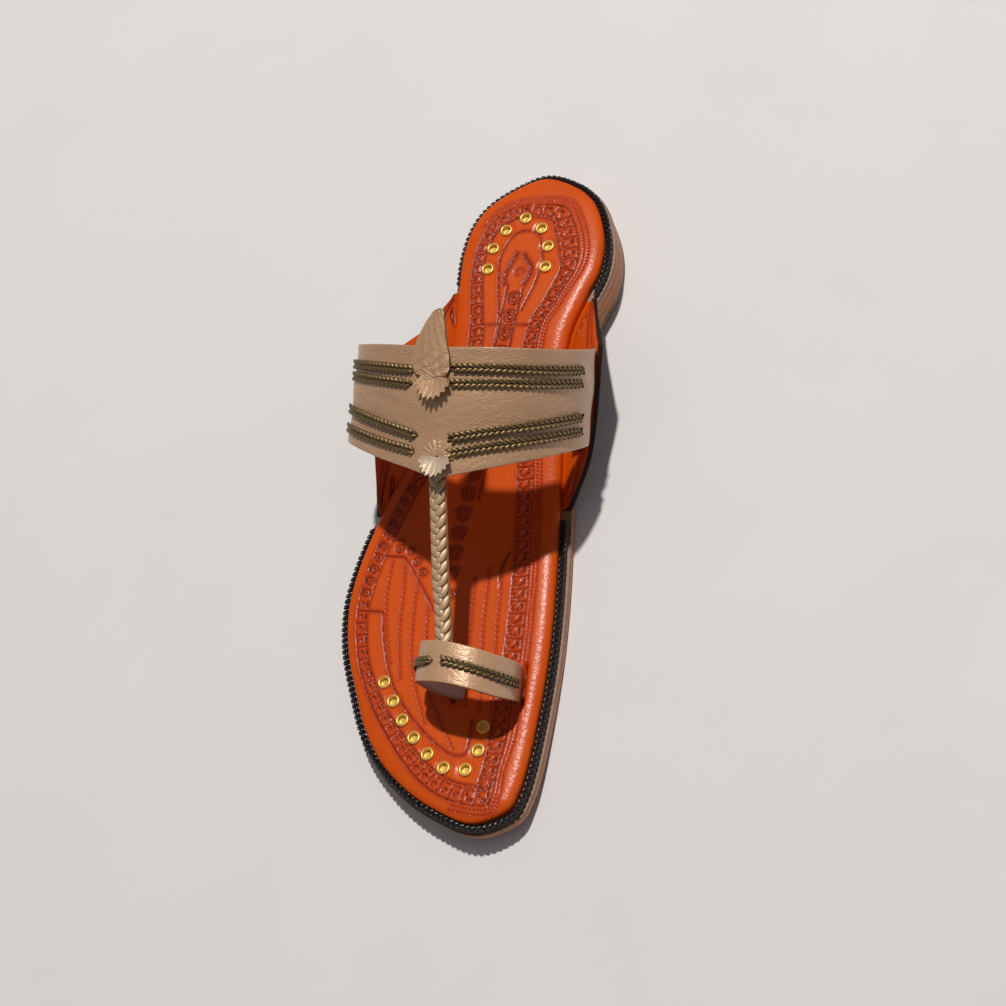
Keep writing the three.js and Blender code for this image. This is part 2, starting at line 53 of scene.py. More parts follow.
# ---------------------------------------------------------------- sizes of the sandal, in millimetres
CENTRE = np.array([1.65, 0.95, 0.0])   # middle of the sandal, which the frame puts at x = y = 0
GAP = 0.3                              # clearance between pieces that touch
FOREFOOT_HEIGHT = 9.6                  # footbed edge above the floor under the ball of the foot
HEEL_HEIGHT = 21.5
RISE_START_Y = -21.0
RISE_LENGTH = 93.0
TOE_SPRING = 5.1
TOE_SPRING_START_Y = -62.0
TOE_SPRING_LENGTH = 78.0
FOOTBED_THICKNESS = 4.9
MIDSOLE_THICKNESS = 1.7
OUTSOLE_THICKNESS = 2.4
SOLE_MARGIN = 3.45
HEEL_BREAST_Y = 66.0
BREAST_STEP = 3.0
LIFT_TAPER = 0.25
WELT_RADIUS = 1.55
EAR_THICKNESS = 2.2
UPPER_THICKNESS = 2.2
BAND_LIFT = GAP + 0.1                  # band ends above the inner faces of the ears

# Footbed outline: one row for each section across the foot
LAST_SECTIONS = [  # y, lateral edge, medial edge
    (128, 4.0, 29.5), (121, -5.8, 37.6), (112, -11.2, 42.2), (100, -13.7, 44.8), (88, -13.8, 44.0),
    (76, -13.3, 39.4), (62, -12.6, 34.8), (46, -14.0, 32.8), (30, -18.5, 33.0), (14, -26.0, 33.8),
    (-2, -35.0, 34.3), (-18, -40.9, 35.0), (-34, -44.8, 35.9), (-48, -46.1, 36.4), (-64, -43.9, 36.5),
    (-80, -38.3, 35.9), (-96, -31.3, 34.8), (-109, -22.3, 33.6), (-119, -10.8, 31.8), (-126, 1.5, 28.3),
]
HEEL_BACK = (17.0, 132.6)
TOE_TIP = (16.0, -130.7)

# Rim of each ear: distance along the foot, how far it stands out from the footbed edge, and up from it
EAR_RIMS = {
    "medial": [(77, 1.6, -2.2), (70, 6.6, 0.6), (62, 11.4, 4.2), (51, 16.6, 11.2), (45, 18.6, 14.8),
               (29, 16.6, 10.8), (12, 12.8, 5.8), (2, 8.4, 1.8), (-9, 2.0, -2.0)],
    "lateral": [(84, 1.6, -2.2), (76, 5.4, 1.0), (65, 9.8, 4.8), (53, 16.4, 12.6), (48, 18.0, 14.2),
                (34, 18.8, 11.2), (17, 15.8, 7.4), (3, 8.8, 2.0), (-10, 1.6, -2.2)],
}

# Instep band: where its ends lie on the ears, and a row for each station over the arch
BAND_TAB_Y = {"lateral": (50.0, 17.5), "medial": (45.5, 12.5)}   # heel edge, toe edge
TAB_HEIGHTS = (0.62, 0.8, 0.98)                                  # share of the ear's height
BAND_STATIONS = [  # heel edge, toe edge
    ((-37.0, 45.0, 47.0), (-43.5, 12.0, 34.0)),     # lateral wall
    ((-35.0, 39.5, 59.0), (-39.5, 5.5, 44.5)),      # lateral shoulder
    ((-20.0, 33.0, 69.5), (-26.0, -3.0, 50.5)),     # lateral instep
    ((-3.0, 28.5, 74.5), (-10.5, -10.5, 55.3)),     # beside the leaf
    ((12.0, 26.0, 76.3), (5.0, -16.5, 58.0)),       # crown
    ((28.0, 25.5, 75.0), (20.5, -14.0, 57.3)),      # medial instep
    ((41.0, 27.5, 68.5), (34.0, -9.2, 52.5)),       # medial slope
    ((49.5, 32.5, 57.5), (44.5, -1.5, 42.0)),       # medial shoulder
    ((52.5, 40.0, 43.5), (48.5, 7.0, 29.0)),        # medial wall
]
CROWN = 7 / (len(BAND_STATIONS) + 5)   # place of the crown along the band

# Toe ring: outer face of the strap round the big toe, with its heel-side and toe-side edges
RING_STATIONS = [  # x, z, heel side y, toe side y
    (5.2, 7.4, -70.5, -84.0), (2.6, 10.0, -70.3, -84.2), (-3.4, 14.6, -69.3, -83.6),
    (-7.1, 21.5, -68.0, -82.8), (-6.0, 29.0, -68.3, -83.6), (0.0, 34.8, -69.8, -85.2),
    (8.5, 37.2, -71.2, -86.6), (18.0, 35.8, -73.0, -88.2), (25.2, 30.0, -73.8, -88.9),
    (28.6, 21.0, -73.0, -87.6), (27.5, 10.2, -71.4, -85.0), (27.0, 5.8, -71.2, -84.8),
]

# Centre strap from under the band to under the ring: middle of its top face
CENTRE_STRAP_WIDTH = 6.6
CENTRE_STRAP_PATH = [
    (3.2, -11.0, 58.6), (3.2, -30.0, 50.0), (4.0, -50.0, 43.0), (5.4, -66.0, 38.0), (6.2, -77.0, 36.2),
]



# ---------------------------------------------------------------- form of the last
def span_point(p0, p1, p2, p3, w, centripetal=True):
    """Catmull-Rom point at w between p1 and p2."""
    m1, m2 = (p2 - p0) / 2, (p3 - p1) / 2
    if centripetal:
        d0, d1, d2 = (
            np.maximum(np.linalg.norm(b - a, axis=-1, keepdims=True), 1e-9) ** 0.5
            for a, b in ((p0, p1), (p1, p2), (p2, p3))
        )
        m1 = ((p1 - p0) / d0 - (p2 - p0) / (d0 + d1) + (p2 - p1) / d1) * d1
        m2 = ((p2 - p1) / d1 - (p3 - p1) / (d1 + d2) + (p3 - p2) / d2) * d1
    return (
        p1 + m1 * w + (3 * (p2 - p1) - 2 * m1 - m2) * w ** 2
        + (2 * (p1 - p2) + m1 + m2) * w ** 3
    )


def spline(points, closed=False, centripetal=True):
    """A smooth curve through points, as a function of the share 0..1 of its spans."""
    pts = np.array(points, float)
    count = len(pts)
    spans = count if closed else count - 1
    ends = np.vstack([2 * pts[0] - pts[1], pts, 2 * pts[-1] - pts[-2]])

    def at(share):
        place = np.clip(np.asarray(share, float), 0, 1) * spans
        i = np.minimum(np.floor(place).astype(int), spans - 1)
        if closed:
            four = (pts[(i + k) % count] for k in (-1, 0, 1, 2))
        else:
            four = (ends[i + k] for k in range(4))
        return span_point(*four, (place - i)[..., None], centripetal)

    return at


def smoothstep(share):
    share = np.clip(share, 0, 1)
    return share * share * (3 - 2 * share)


def foot_height(y):
    """Height of the footbed edge above the floor."""
    y = np.asarray(y, float)
    rise = (HEEL_HEIGHT - FOREFOOT_HEIGHT) * smoothstep((y - RISE_START_Y) / RISE_LENGTH)
    spring = np.clip((TOE_SPRING_START_Y - y) / TOE_SPRING_LENGTH, 0, 1)
    return FOREFOOT_HEIGHT + rise + TOE_SPRING * spring ** 2


OUTLINE_STEPS = 4000
outline = spline(
    [HEEL_BACK, *((lateral, y) for y, lateral, _ in LAST_SECTIONS), TOE_TIP,
     *((medial, y) for y, _, medial in reversed(LAST_SECTIONS))],
    closed=True, centripetal=False,
)
OUTLINE = outline(np.arange(OUTLINE_STEPS) / OUTLINE_STEPS)
OUTLINE_TANGENT = np.roll(OUTLINE, -1, 0) - np.roll(OUTLINE, 1, 0)
OUTLINE_TANGENT /= np.linalg.norm(OUTLINE_TANGENT, axis=1, keepdims=True)
OUTLINE_OUTWARD = np.stack([OUTLINE_TANGENT[:, 1], -OUTLINE_TANGENT[:, 0]], 1)


def outline_side(side):
    """Indices of one side's outline samples, from the toe to the heel."""
    half = OUTLINE_STEPS // 2
    if side == "lateral":
        return np.arange(half, -1, -1)
    return np.arange(half, OUTLINE_STEPS + 1) % OUTLINE_STEPS


def edge_point(side, y, offset=0.0):
    """Place on one side's outline at a distance y along the foot, moved out by offset."""
    order = outline_side(side)
    share = np.interp(y, OUTLINE[order, 1], np.arange(len(order)))
    low = np.minimum(np.floor(share).astype(int), len(order) - 2)
    w = (share - low)[..., None]

    def between(values):
        return values[order[low]] * (1 - w) + values[order[low + 1]] * w

    return between(OUTLINE) + between(OUTLINE_OUTWARD) * offset


SIDE_SIGN = {"medial": 1.0, "lateral": -1.0}
EAR_RIM_SAMPLES = {
    side: spline([(out, y, up) for y, out, up in rows], centripetal=False)(np.linspace(0, 1, 400))
    for side, rows in EAR_RIMS.items()
}


def ear_face(side, y, share, lift=0.0):
    """Inner face of an ear, from the sole (share 0) to its rim (share 1), raised by lift."""
    y, share = np.broadcast_arrays(np.asarray(y, float), np.asarray(share, float))
    rim = EAR_RIM_SAMPLES[side][::-1]
    out = np.interp(y, rim[:, 1], rim[:, 0])
    up = np.interp(y, rim[:, 1], rim[:, 2])
    a = np.stack([np.full_like(y, 0.5), np.full_like(y, -FOOTBED_THICKNESS)], -1)
    b = np.stack([np.full_like(y, 1.4), np.minimum(-1.6, (up - FOOTBED_THICKNESS) / 2)], -1)
    c = np.stack([out, up], -1)
    t = share[..., None]
    point = (1 - t) ** 2 * a + 2 * t * (1 - t) * b + t ** 2 * c
    along = 2 * (1 - t) * (b - a) + 2 * t * (c - b)
    along /= np.linalg.norm(along, axis=-1, keepdims=True)
    x = edge_point(side, y)[..., 0] + SIDE_SIGN[side] * (point[..., 0] - along[..., 1] * lift)
    return np.stack([x, y, foot_height(y) + point[..., 1] + along[..., 0] * lift], -1)


def band_surface(along, across):
    """Outer face of the band: along from the lateral end to the medial end, across from its heel
    edge (0) to its toe edge (1)."""
    along, across = np.broadcast_arrays(np.asarray(along, float), np.asarray(across, float))
    w = across[..., None]

    def tab(side, height):
        heel_y, toe_y = BAND_TAB_Y[side]
        return ear_face(side, heel_y + (toe_y - heel_y) * across, height, BAND_LIFT)

    rows = [tab("lateral", height) for height in TAB_HEIGHTS]
    rows += [np.array(heel) * (1 - w) + np.array(toe) * w for heel, toe in BAND_STATIONS]
    rows += [tab("medial", height) for height in reversed(TAB_HEIGHTS)]
    rows = [2 * rows[0] - rows[1], *rows, 2 * rows[-1] - rows[-2]]
    stations = np.stack(rows, -2)
    place = np.clip(along, 0, 1) * (len(rows) - 3)
    i = np.minimum(np.floor(place).astype(int), len(rows) - 4)
    four = (np.take_along_axis(stations, (i + k)[..., None, None], -2)[..., 0, :] for k in range(4))
    return span_point(*four, (place - i)[..., None])


def ring_surface(along, across):
    """Outer face of the toe ring: along from its lateral end, across from heel side to toe side."""
    back = spline([(x, heel, z) for x, z, heel, _ in RING_STATIONS])(along)
    front = spline([(x, toe, z) for x, z, _, toe in RING_STATIONS])(along)
    across = np.asarray(across, float)[..., None]
    return back * (1 - across) + front * across


# ---------------------------------------------------------------- surfaces that pieces lie on
def unit(vectors):
    return vectors / np.maximum(np.linalg.norm(vectors, axis=-1, keepdims=True), 1e-12)


def normals_of(surface, along, across):
    """Outward normals of a strap's surface, whose across direction runs towards the toe."""
    step = 1e-3
    da = surface(along + step, across) - surface(along - step, across)
    dw = surface(along, across + step) - surface(along, across - step)
    return unit(np.cross(dw, da))


def band_beyond(along, across):
    """The band's outer face, carried on in a straight line past its two edges."""
    along, across = np.broadcast_arrays(np.asarray(along, float), np.asarray(across, float))
    inside = np.clip(across, 0, 1)
    base = band_surface(along, inside)
    if np.all(inside == across):
        return base
    reach = 0.12
    near = band_surface(along, np.where(across < 0.5, reach, 1 - reach))
    return base + (base - near) / reach * np.abs(across - inside)[..., None]


def raised(surface, along, across, lift):
    """A point above a strap's face by lift, or inside it where lift is negative."""
    return surface(along, across) + normals_of(surface, along, across) * np.asarray(lift)[..., None]


def centre_strap_surface(along, across):
    """Top face of the centre strap: across runs from its medial edge (0) to its lateral edge (1)."""
    middle = spline(CENTRE_STRAP_PATH)(along)
    side = np.array([CENTRE_STRAP_WIDTH, 0, 0])
    return middle + (0.5 - np.asarray(across, float)[..., None]) * side


def to_metres(points):
    """Points in millimetres, moved to the frame's own middle and metres."""
    return (np.asarray(points, float) - CENTRE) * MM


def middle_of(node):
    """Middle of a CAD piece seen from above, in the script's own millimetres."""
    low, high = (np.array(corner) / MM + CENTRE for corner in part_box(node))
    return tuple((low + high)[:2] / 2)


EYELET_PLACES = {node: middle_of(node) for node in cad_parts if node.startswith("eyelet_")}


# ---------------------------------------------------------------- making pieces
def add_primitive(operator, name, **sizes):
    """Adds one of Blender's primitives, alone selected and active."""
    bpy.ops.object.select_all(action="DESELECT")
    operator(**sizes)
    piece = bpy.context.object
    piece.name = piece.data.name = name
    return piece


def make_active(piece):
    bpy.ops.object.select_all(action="DESELECT")
    piece.select_set(True)
    bpy.context.view_layer.objects.active = piece


def coordinates(piece):
    co = np.empty(len(piece.data.vertices) * 3)
    piece.data.vertices.foreach_get("co", co)
    return co.reshape(-1, 3)


def set_coordinates(piece, co):
    piece.data.vertices.foreach_set("co", np.ascontiguousarray(co, float).ravel())
    piece.data.update()


def face_outwards(piece):
    """Turns a closed mesh the right way out, by the sign of the volume that it encloses."""
    mesh = piece.data
    mesh.calc_loop_triangles()
    corners = np.empty(len(mesh.loop_triangles) * 3, np.int32)
    mesh.loop_triangles.foreach_get("vertices", corners)
    a, b, c = coordinates(piece)[corners.reshape(-1, 3)].transpose(1, 0, 2)
    if np.einsum("ij,ij->", a, np.cross(b, c)) < 0:
        mesh.flip_normals()


def soften(piece, width=0.0, angle=40.0, segments=2):
    """Rounds the sharp edges of a piece by width and smooths its shading."""
    make_active(piece)
    if width:
        bevel = piece.modifiers.new("Bevel", "BEVEL")
        bevel.width = width * MM
        bevel.segments = segments
        bevel.limit_method = "ANGLE"
        bevel.angle_limit = math.radians(angle)
        bpy.ops.object.modifier_apply(modifier=bevel.name)
    bpy.ops.object.shade_smooth_by_angle(angle=math.radians(50))
    return piece


def dress(piece, materials, nodes=()):
    """Gives a piece its materials and its body, and hides the CAD nodes that it stands for."""
    for material in materials:
        piece.data.materials.append(material)
    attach(piece, "root")
    if nodes:
        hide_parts(*nodes)
    return piece


def set_attribute(piece, name, values):
    attribute = piece.data.attributes.new(name, "FLOAT", "POINT")
    attribute.data.foreach_set("value", np.asarray(values, np.float32))


def thick_grid(name, columns, rows):
    """A flat grid extruded once. Returns it with its vertices' s and t, from 0 to 1 across the grid,
    and depth, 0 on its face and 1 on its back."""
    piece = add_primitive(bpy.ops.mesh.primitive_grid_add, name,
                          x_subdivisions=columns, y_subdivisions=rows, size=2)
    bpy.ops.object.mode_set(mode="EDIT")
    bpy.ops.mesh.select_all(action="SELECT")
    bpy.ops.mesh.extrude_region_move(TRANSFORM_OT_translate={"value": (0, 0, -1)})
    bpy.ops.object.mode_set(mode="OBJECT")
    grid = coordinates(piece)
    return piece, (grid[:, 0] + 1) / 2, (grid[:, 1] + 1) / 2, np.round(-grid[:, 2])


def slab(name, columns, rows, place, size, edge=0.25):
    """A sheet with a thickness, whose vertices are laid by place(s, t, depth). Its rim takes the second
    material and its back the third. size is its width and length, for the UV map's millimetres."""
    piece, s, t, depth = thick_grid(name, columns, rows)
    mesh = piece.data
    corner = np.empty(len(mesh.loops), np.int32)
    mesh.loops.foreach_get("vertex_index", corner)
    uv = np.stack([s, t], 1)[corner] * np.array(size) * MM
    mesh.uv_layers.active.data.foreach_set("uv", uv.ravel())
    for face in mesh.polygons:
        level = depth[list(face.vertices)].mean()
        face.material_index = 0 if level == 0 else 2 if level == 1 else 1
    set_coordinates(piece, to_metres(place(s, t, depth)))
    face_outwards(piece)
    return soften(piece, edge)


def strap(name, surface, spans, widths, lifts, columns, rows, size, edge=0.25, shape=None):
    """A strap or patch on a surface: spans are its two ends along it, widths its two edges across it,
    lifts the heights of its face and its back. shape(s, t) may return its own (along, across, lift)."""
    def place(s, t, depth):
        along = spans[0] + (spans[1] - spans[0]) * s
        across = widths[1] + (widths[0] - widths[1]) * t
        lift = lifts[0] + (lifts[1] - lifts[0]) * depth
        if shape:
            along, across, extra = shape(s, t)
            lift = lift + extra
        return raised(surface, along, across, lift)

    return slab(name, columns, rows, place, size, edge)


# ---------------------------------------------------------------- plaits
def strand_bight(segments, rings):
    """One visible turn of a plaited strand, unit sized: a lens, flat below and fuller at its tucked end."""
    piece = add_primitive(bpy.ops.mesh.primitive_uv_sphere_add, "bight",
                          segments=segments, ring_count=rings, radius=0.5)
    bpy.ops.object.mode_set(mode="EDIT")
    bpy.ops.mesh.select_all(action="SELECT")
    bpy.ops.transform.rotate(value=math.pi / 2, orient_axis="Y", center_override=(0, 0, 0))
    bpy.ops.object.mode_set(mode="OBJECT")
    co = coordinates(piece)
    co[:, 1] *= (1 - 0.45 * co[:, 0]) * (1.001 - (2 * co[:, 0]) ** 2) ** 0.2
    co[:, 2] = np.where(co[:, 2] < 0, co[:, 2] * 0.6, co[:, 2])
    set_coordinates(piece, co)
    face_outwards(piece)
    faces = [tuple(face.vertices) for face in piece.data.polygons]
    bpy.data.objects.remove(piece)
    return co, faces


def plait(name, path, up, width, pitch, bight_size, slant, bight, drop=0.0, tilt=14.0):
    """Two rows of bights in turn along a path, each row slanting in towards the middle.
    up holds the path's normals, and bight_size a bight's length, width and thickness."""
    steps = np.concatenate([[0], np.cumsum(np.linalg.norm(np.diff(path, axis=0), axis=1))])
    lens, faces = bight
    # crown: a bight's share of its height, which the foil finishes turn into painted shade at its low edges
    crown = smoothstep((lens[:, 2] + 0.05) / 0.5)
    shape = lens * np.array(bight_size)
    turn = math.radians(slant)
    lean = math.radians(tilt)
    vertices, polygons = [], []
    for side in (-1, 1):
        places = np.arange((side + 1) * pitch / 4 + pitch / 2, steps[-1] - pitch / 3, pitch)
        for place in places:
            at = np.array([np.interp(place, steps, path[:, k]) for k in range(3)])
            ahead = np.array([np.interp(place + 0.2, steps, path[:, k]) for k in range(3)])
            behind = np.array([np.interp(place - 0.2, steps, path[:, k]) for k in range(3)])
            normal = unit(np.array([np.interp(place, steps, up[:, k]) for k in range(3)]))
            forward = unit(ahead - behind)
            across = np.cross(normal, forward)
            long = forward * math.cos(turn) - across * side * math.sin(turn)
            cross = np.cross(normal, long)
            x_axis = long * math.cos(lean) - normal * math.sin(lean)
            z_axis = np.cross(x_axis, cross)
            centre = at + across * side * width / 4 - normal * drop
            first = len(vertices) * len(shape)
            vertices.append(centre + shape @ np.stack([x_axis, cross, z_axis]))
            polygons.extend(tuple(v + first for v in face) for face in faces)
    mesh = bpy.data.meshes.new(name)
    mesh.from_pydata(to_metres(np.concatenate(vertices)), [], polygons)
    piece = bpy.data.objects.new(name, mesh)
    bpy.context.scene.collection.objects.link(piece)
    face_outwards(piece)
    set_attribute(piece, "crown", np.tile(crown, len(vertices)))
    return soften(piece)


def cord_on(surface, start, end, lift, dive=1.6, samples=70):
    """Path of a cord on a strap, between two (along, across) places, with both ends dipping into it."""
    share = np.linspace(0, 1, samples)
    along = start[0] + (end[0] - start[0]) * share
    across = start[1] + (end[1] - start[1]) * share
    flat = surface(along, across)
    run = np.concatenate([[0], np.cumsum(np.linalg.norm(np.diff(flat, axis=0), axis=1))])
    from_end = np.minimum(run, run[-1] - run)
    height = lift - 1.1 * (1 - smoothstep(from_end / dive))
    up = normals_of(surface, along, across)
    return flat + up * height[:, None], up


# ---------------------------------------------------------------- tooling pressed into the leather
def stroke_points(points, spacing=0.2):
    """Samples along a stroke's straight pieces, close enough together to read as a line."""
    points = np.array(points, float)
    lengths = np.concatenate([[0], np.cumsum(np.linalg.norm(np.diff(points, axis=0), axis=1))])
    count = max(2, int(lengths[-1] / spacing) + 1)
    at = np.linspace(0, lengths[-1], count)
    return np.stack([np.interp(at, lengths, points[:, k]) for k in range(points.shape[1])], 1)


def smooth_stroke(points, spacing=0.2):
    """Samples along a smooth curve through points."""
    return stroke_points(spline(points)(np.linspace(0, 1, 24 * len(points))), spacing)


def dotted(points, pitch):
    """Pricks at equal distances along a smooth curve through points."""
    return stroke_points(spline(points)(np.linspace(0, 1, 24 * len(points))), pitch)


def arc(radius, start, end, centre=(0, 0)):
    angles = np.radians(np.linspace(start, end, max(4, int(abs(end - start) / 15))))
    return np.stack([centre[0] + radius * np.cos(angles), centre[1] + radius * np.sin(angles)], 1)


# Border of the footbed: the distances in from its edge to the chain's outer and inner lines
BORDER = [  # side, y, outer line, inner line
    ("lateral", 126, 7.4, 13.2), ("lateral", 116, 6.0, 11.0), ("lateral", 104, 4.8, 9.2),
    ("lateral", 92, 4.4, 8.8), ("lateral", 80, 4.8, 9.5), ("lateral", 69, 5.4, 10.4),
    ("lateral", 60, 5.6, 11.2), ("lateral", 44, 4.8, 10.0), ("lateral", 20, 4.2, 9.0),
    ("lateral", 0, 4.0, 9.0), ("lateral", -18, 3.6, 8.6), ("lateral", -33, 3.2, 8.3),
    ("lateral", -50, 2.9, 7.6), ("lateral", -70, 2.9, 7.1), ("lateral", -82, 3.6, 7.9),
    ("lateral", -92, 5.0, 9.6), ("lateral", -100, 6.2, 11.2), ("lateral", -109, 6.5, 12.0),
    ("lateral", -119, 5.4, 11.8), ("lateral", -126, 5.1, 11.8),
    ("medial", -129, 6.0, 12.6), ("medial", -122, 9.4, 15.0), ("medial", -112, 10.8, 16.0),
    ("medial", -100, 10.4, 16.4), ("medial", -85, 10.8, 17.0), ("medial", -60, 11.1, 17.1),
    ("medial", -30, 10.9, 16.9), ("medial", -5, 11.0, 17.0), ("medial", 20, 11.3, 17.2),
    ("medial", 46, 12.0, 17.4), ("medial", 63, 12.6, 17.2), ("medial", 70, 11.0, 15.7),
    ("medial", 77, 10.5, 15.3), ("medial", 84, 10.0, 15.7), ("medial", 93, 10.3, 17.6),
    ("medial", 104, 10.8, 18.9), ("medial", 116, 11.0, 18.8), ("medial", 126, 9.8, 17.2),
]
CHAIN_PITCH = 4.9        # from stamp to stamp in the border
PRICK_PITCH = 1.45       # between the pricks of the double row outside the border
CREASE, STAMP, PRICK = (0.36, 0.30), (0.38, 0.42), (0.46, 0.40)   # half width, depth
TOOTH = (0.24, 0.32)


def border_line(share):
    """Closed line through the border, at a share from its outer line (0) to its inner line (1)."""
    rows = [edge_point(side, y, -(outer + (inner - outer) * share)) for side, y, outer, inner in BORDER]
    return spline(rows, closed=True)(np.linspace(0, 1, 1600))


def walk(line, pitch):
    """Places at equal distances round a closed line, with the directions along it and in from it."""
    closed = np.vstack([line, line[:1]])
    lengths = np.concatenate([[0], np.cumsum(np.linalg.norm(np.diff(closed, axis=0), axis=1))])
    count = round(lengths[-1] / pitch)
    at = np.arange(count) * lengths[-1] / count
    here, ahead = (
        np.stack([np.interp(at + d, lengths, closed[:, k]) for k in range(2)], 1) for d in (0, 0.5)
    )
    forward = unit(ahead - here)
    return here, forward, np.stack([-forward[:, 1], forward[:, 0]], 1)


def chain_strokes():
    """The border's stamps: boxes with a hooked arc on the inner side and at the heel, rings on the
    lateral forefoot, and boxes with a short bar towards the toe."""
    middle = border_line(0.5)
    across = np.linalg.norm(border_line(1.0) - border_line(0.0), axis=1)
    here, forward, inward = walk(middle, CHAIN_PITCH)
    nearest = np.argmin(((here[:, None] - middle[None]) ** 2).sum(2), axis=1)
    strokes = []
    for (x, y), ahead, into, half in zip(here, forward, inward, across[nearest] / 2):
        def stamp(points):
            points = np.atleast_2d(points)
            strokes.append(stroke_points(np.array([x, y]) + points[:, :1] * ahead + points[:, 1:] * into))

        lateral = x < 12
        edge = CHAIN_PITCH / 2
        if lateral and -46 < y < 4:
            stamp(arc(1.45, 0, 360))
            stamp(arc(0.35, 0, 360))
            stamp(arc(2.2, 200, 290))
        elif lateral and y <= -46:
            stamp([(edge, -half), (edge, half * 0.8)])
            stamp([(-1.1, half * 0.62), (0.9, half * 0.62)])
            stamp(arc(0.9, 30, 250, (0, -half * 0.25)))
        else:
            stamp([(edge, -half), (edge, half)])
            stamp(arc(1.35, 40, 250, (0.1, half * 0.30)))
            stamp(arc(0.45, 0, 360, (0.1, -half * 0.42)))
            stamp(arc(0.3, 0, 360, (1.2, -half * 0.42)))
    return strokes


# Creased lines of the footbed, drawn one by one
CREASED_LINES = [
    [(13.5, 72), (18.5, 86), (19.5, 97), (16, 107), (8, 108), (2, 98), (2.5, 84), (4.5, 68), (3, 50)],
    [(6.5, 84), (5, 66), (2.5, 40), (-4, -4)],
    [(13, 82), (11, 64), (8.5, 40), (1.5, -4)],
    [(-1.5, 66.5), (18, 65)],
    [(9, 98.5), (5.5, 91), (4.5, 87), (5, 84)],
    [(11.5, 97.5), (15.5, 91), (14.5, 86.5), (13, 83.5)],
    [(-33, -20), (-27.5, -20)],
    [(-34.5, -26.5), (-26.5, -27)],
    [(-26.5, -27), (-19.5, -36.5), (-11.5, -48.5)],
    [(-38.5, -49), (-32, -49.5)],
    [(-32, -49.5), (-30, -61), (-23, -79.5), (-10, -95), (4, -105), (9, -105), (10.5, -92)],
    [(16.5, -26), (14, -33), (14, -40)],
]
# Pricked lines that run lengthwise over the forefoot
PRICKED_LINES = [
    [(-31, -27), (-31.5, -43), (-28.5, -62), (-26, -70)],
    [(-26.5, -27.5), (-25, -37), (-24, -57), (-21, -76)],
    [(-19.5, -38), (-19, -54), (-17, -71), (-8.5, -93.5)],
    [(-14, -45), (-12.5, -62), (-9.5, -78), (4, -103)],
    [(4, -36), (4.5, -54), (6.5, -86)],
    [(9.5, -32), (9.5, -54), (12.5, -88)],
    [(14.5, -32), (15, -54), (17.5, -92)],
]
FOREFOOT_PRICK_PITCH = 2.1
# Middles of the single ring stamps
RING_STAMPS = [
    (9.9, 77.0), (8.9, 69.2), (7.7, 61.5), (6.6, 53.8), (5.4, 46.0), (4.2, 38.0), (3.0, 30.0), (1.8, 22.0),
    (0.4, 14.0), (-1.2, 6.0), (-2.8, -2.0), (-4.2, -10.0), (-5.2, -18.0), (-5.9, -26.0), (-6.2, -34.3),
]
SMALL_RING_STAMPS = [(-29, -23.5), (-24, -24.5), (-21, -29), (-18, -33.5), (-4.5, -42.5)]
ROSETTE_CENTRE = (10.5, 89.5)
COMB_TOOTH = 1.7


def comb_teeth(points):
    """Short bars across a comb line."""
    line = stroke_points(spline(points)(np.linspace(0, 1, 60)), 1.15)
    forward = unit(np.gradient(line, axis=0))
    side = np.stack([-forward[:, 1], forward[:, 0]], 1) * COMB_TOOTH / 2
    return [stroke_points([a, b]) for a, b in zip(line - side, line + side)]


def outside_border(share):
    """The part of a line outside the border where the double row of pricks runs: round the heel, down
    the medial side and round the toe."""
    line = border_line(share)
    return [p for p in walk(line, PRICK_PITCH)[0] if p[0] > 6 or p[1] > 112]


def tooling():
    """Every stroke on the footbed as (samples, (half width, depth))."""
    slots = [[(1.6, -69.6), (1.6, -84.8)], [(28.3, -70.8), (28.3, -85.6)]]
    strokes = [(border_line(share), CREASE) for share in (0.0, 1.0)]
    strokes += [(stroke, STAMP) for stroke in chain_strokes()]
    strokes += [(smooth_stroke(line), CREASE) for line in CREASED_LINES]
    strokes += [(dotted(line, FOREFOOT_PRICK_PITCH), PRICK) for line in PRICKED_LINES]
    strokes += [(np.array(outside_border(share)), PRICK) for share in (-0.28, -0.52)]
    for x, y in RING_STAMPS:
        strokes += [(stroke_points(arc(radius, 0, 360, (x, y))), STAMP) for radius in (2.3, 1.1)]
        strokes.append((stroke_points(arc(3.3, 20, 160, (x, y))), CREASE))
    for x, y in SMALL_RING_STAMPS:
        strokes += [(stroke_points(arc(radius, 0, 360, (x, y))), STAMP) for radius in (1.5, 0.4)]
    strokes += [(tooth, TOOTH) for line in CREASED_LINES[4:6] for tooth in comb_teeth(line)]
    strokes.append((arc(1.5, 0, 270, ROSETTE_CENTRE)[::2], (0.8, 0.5)))
    strokes += [(stroke_points(slot), (0.9, 1.6)) for slot in slots]
    return strokes


def press(places, strokes):
    """Depth that the strokes press into each place, and its distance from the nearest stroke."""
    depth = np.zeros(len(places))
    nearest = np.full(len(places), 9.0)
    for style in sorted({style for _, style in strokes}):
        samples = np.concatenate([points for points, own in strokes if own == style])
        tree = KDTree(len(samples))
        for i, point in enumerate(samples):
            tree.insert((*point, 0)[:3] if len(point) == 2 else point, i)
        tree.balance()
        distance = np.array([tree.find((p[0], p[1], p[2] if len(p) > 2 else 0))[2] for p in places])
        width, deep = style
        depth = np.maximum(depth, deep * np.exp(-(distance / width) ** 2))
        nearest = np.minimum(nearest, distance)
    return depth, nearest


# ---------------------------------------------------------------- finishes
def linear(hex_colour):
    """An sRGB hex colour as linear RGBA."""
    values = [int(hex_colour[i:i + 2], 16) / 255 for i in (1, 3, 5)]
    return (*(v / 12.92 if v <= 0.04045 else ((v + 0.055) / 1.055) ** 2.4 for v in values), 1.0)


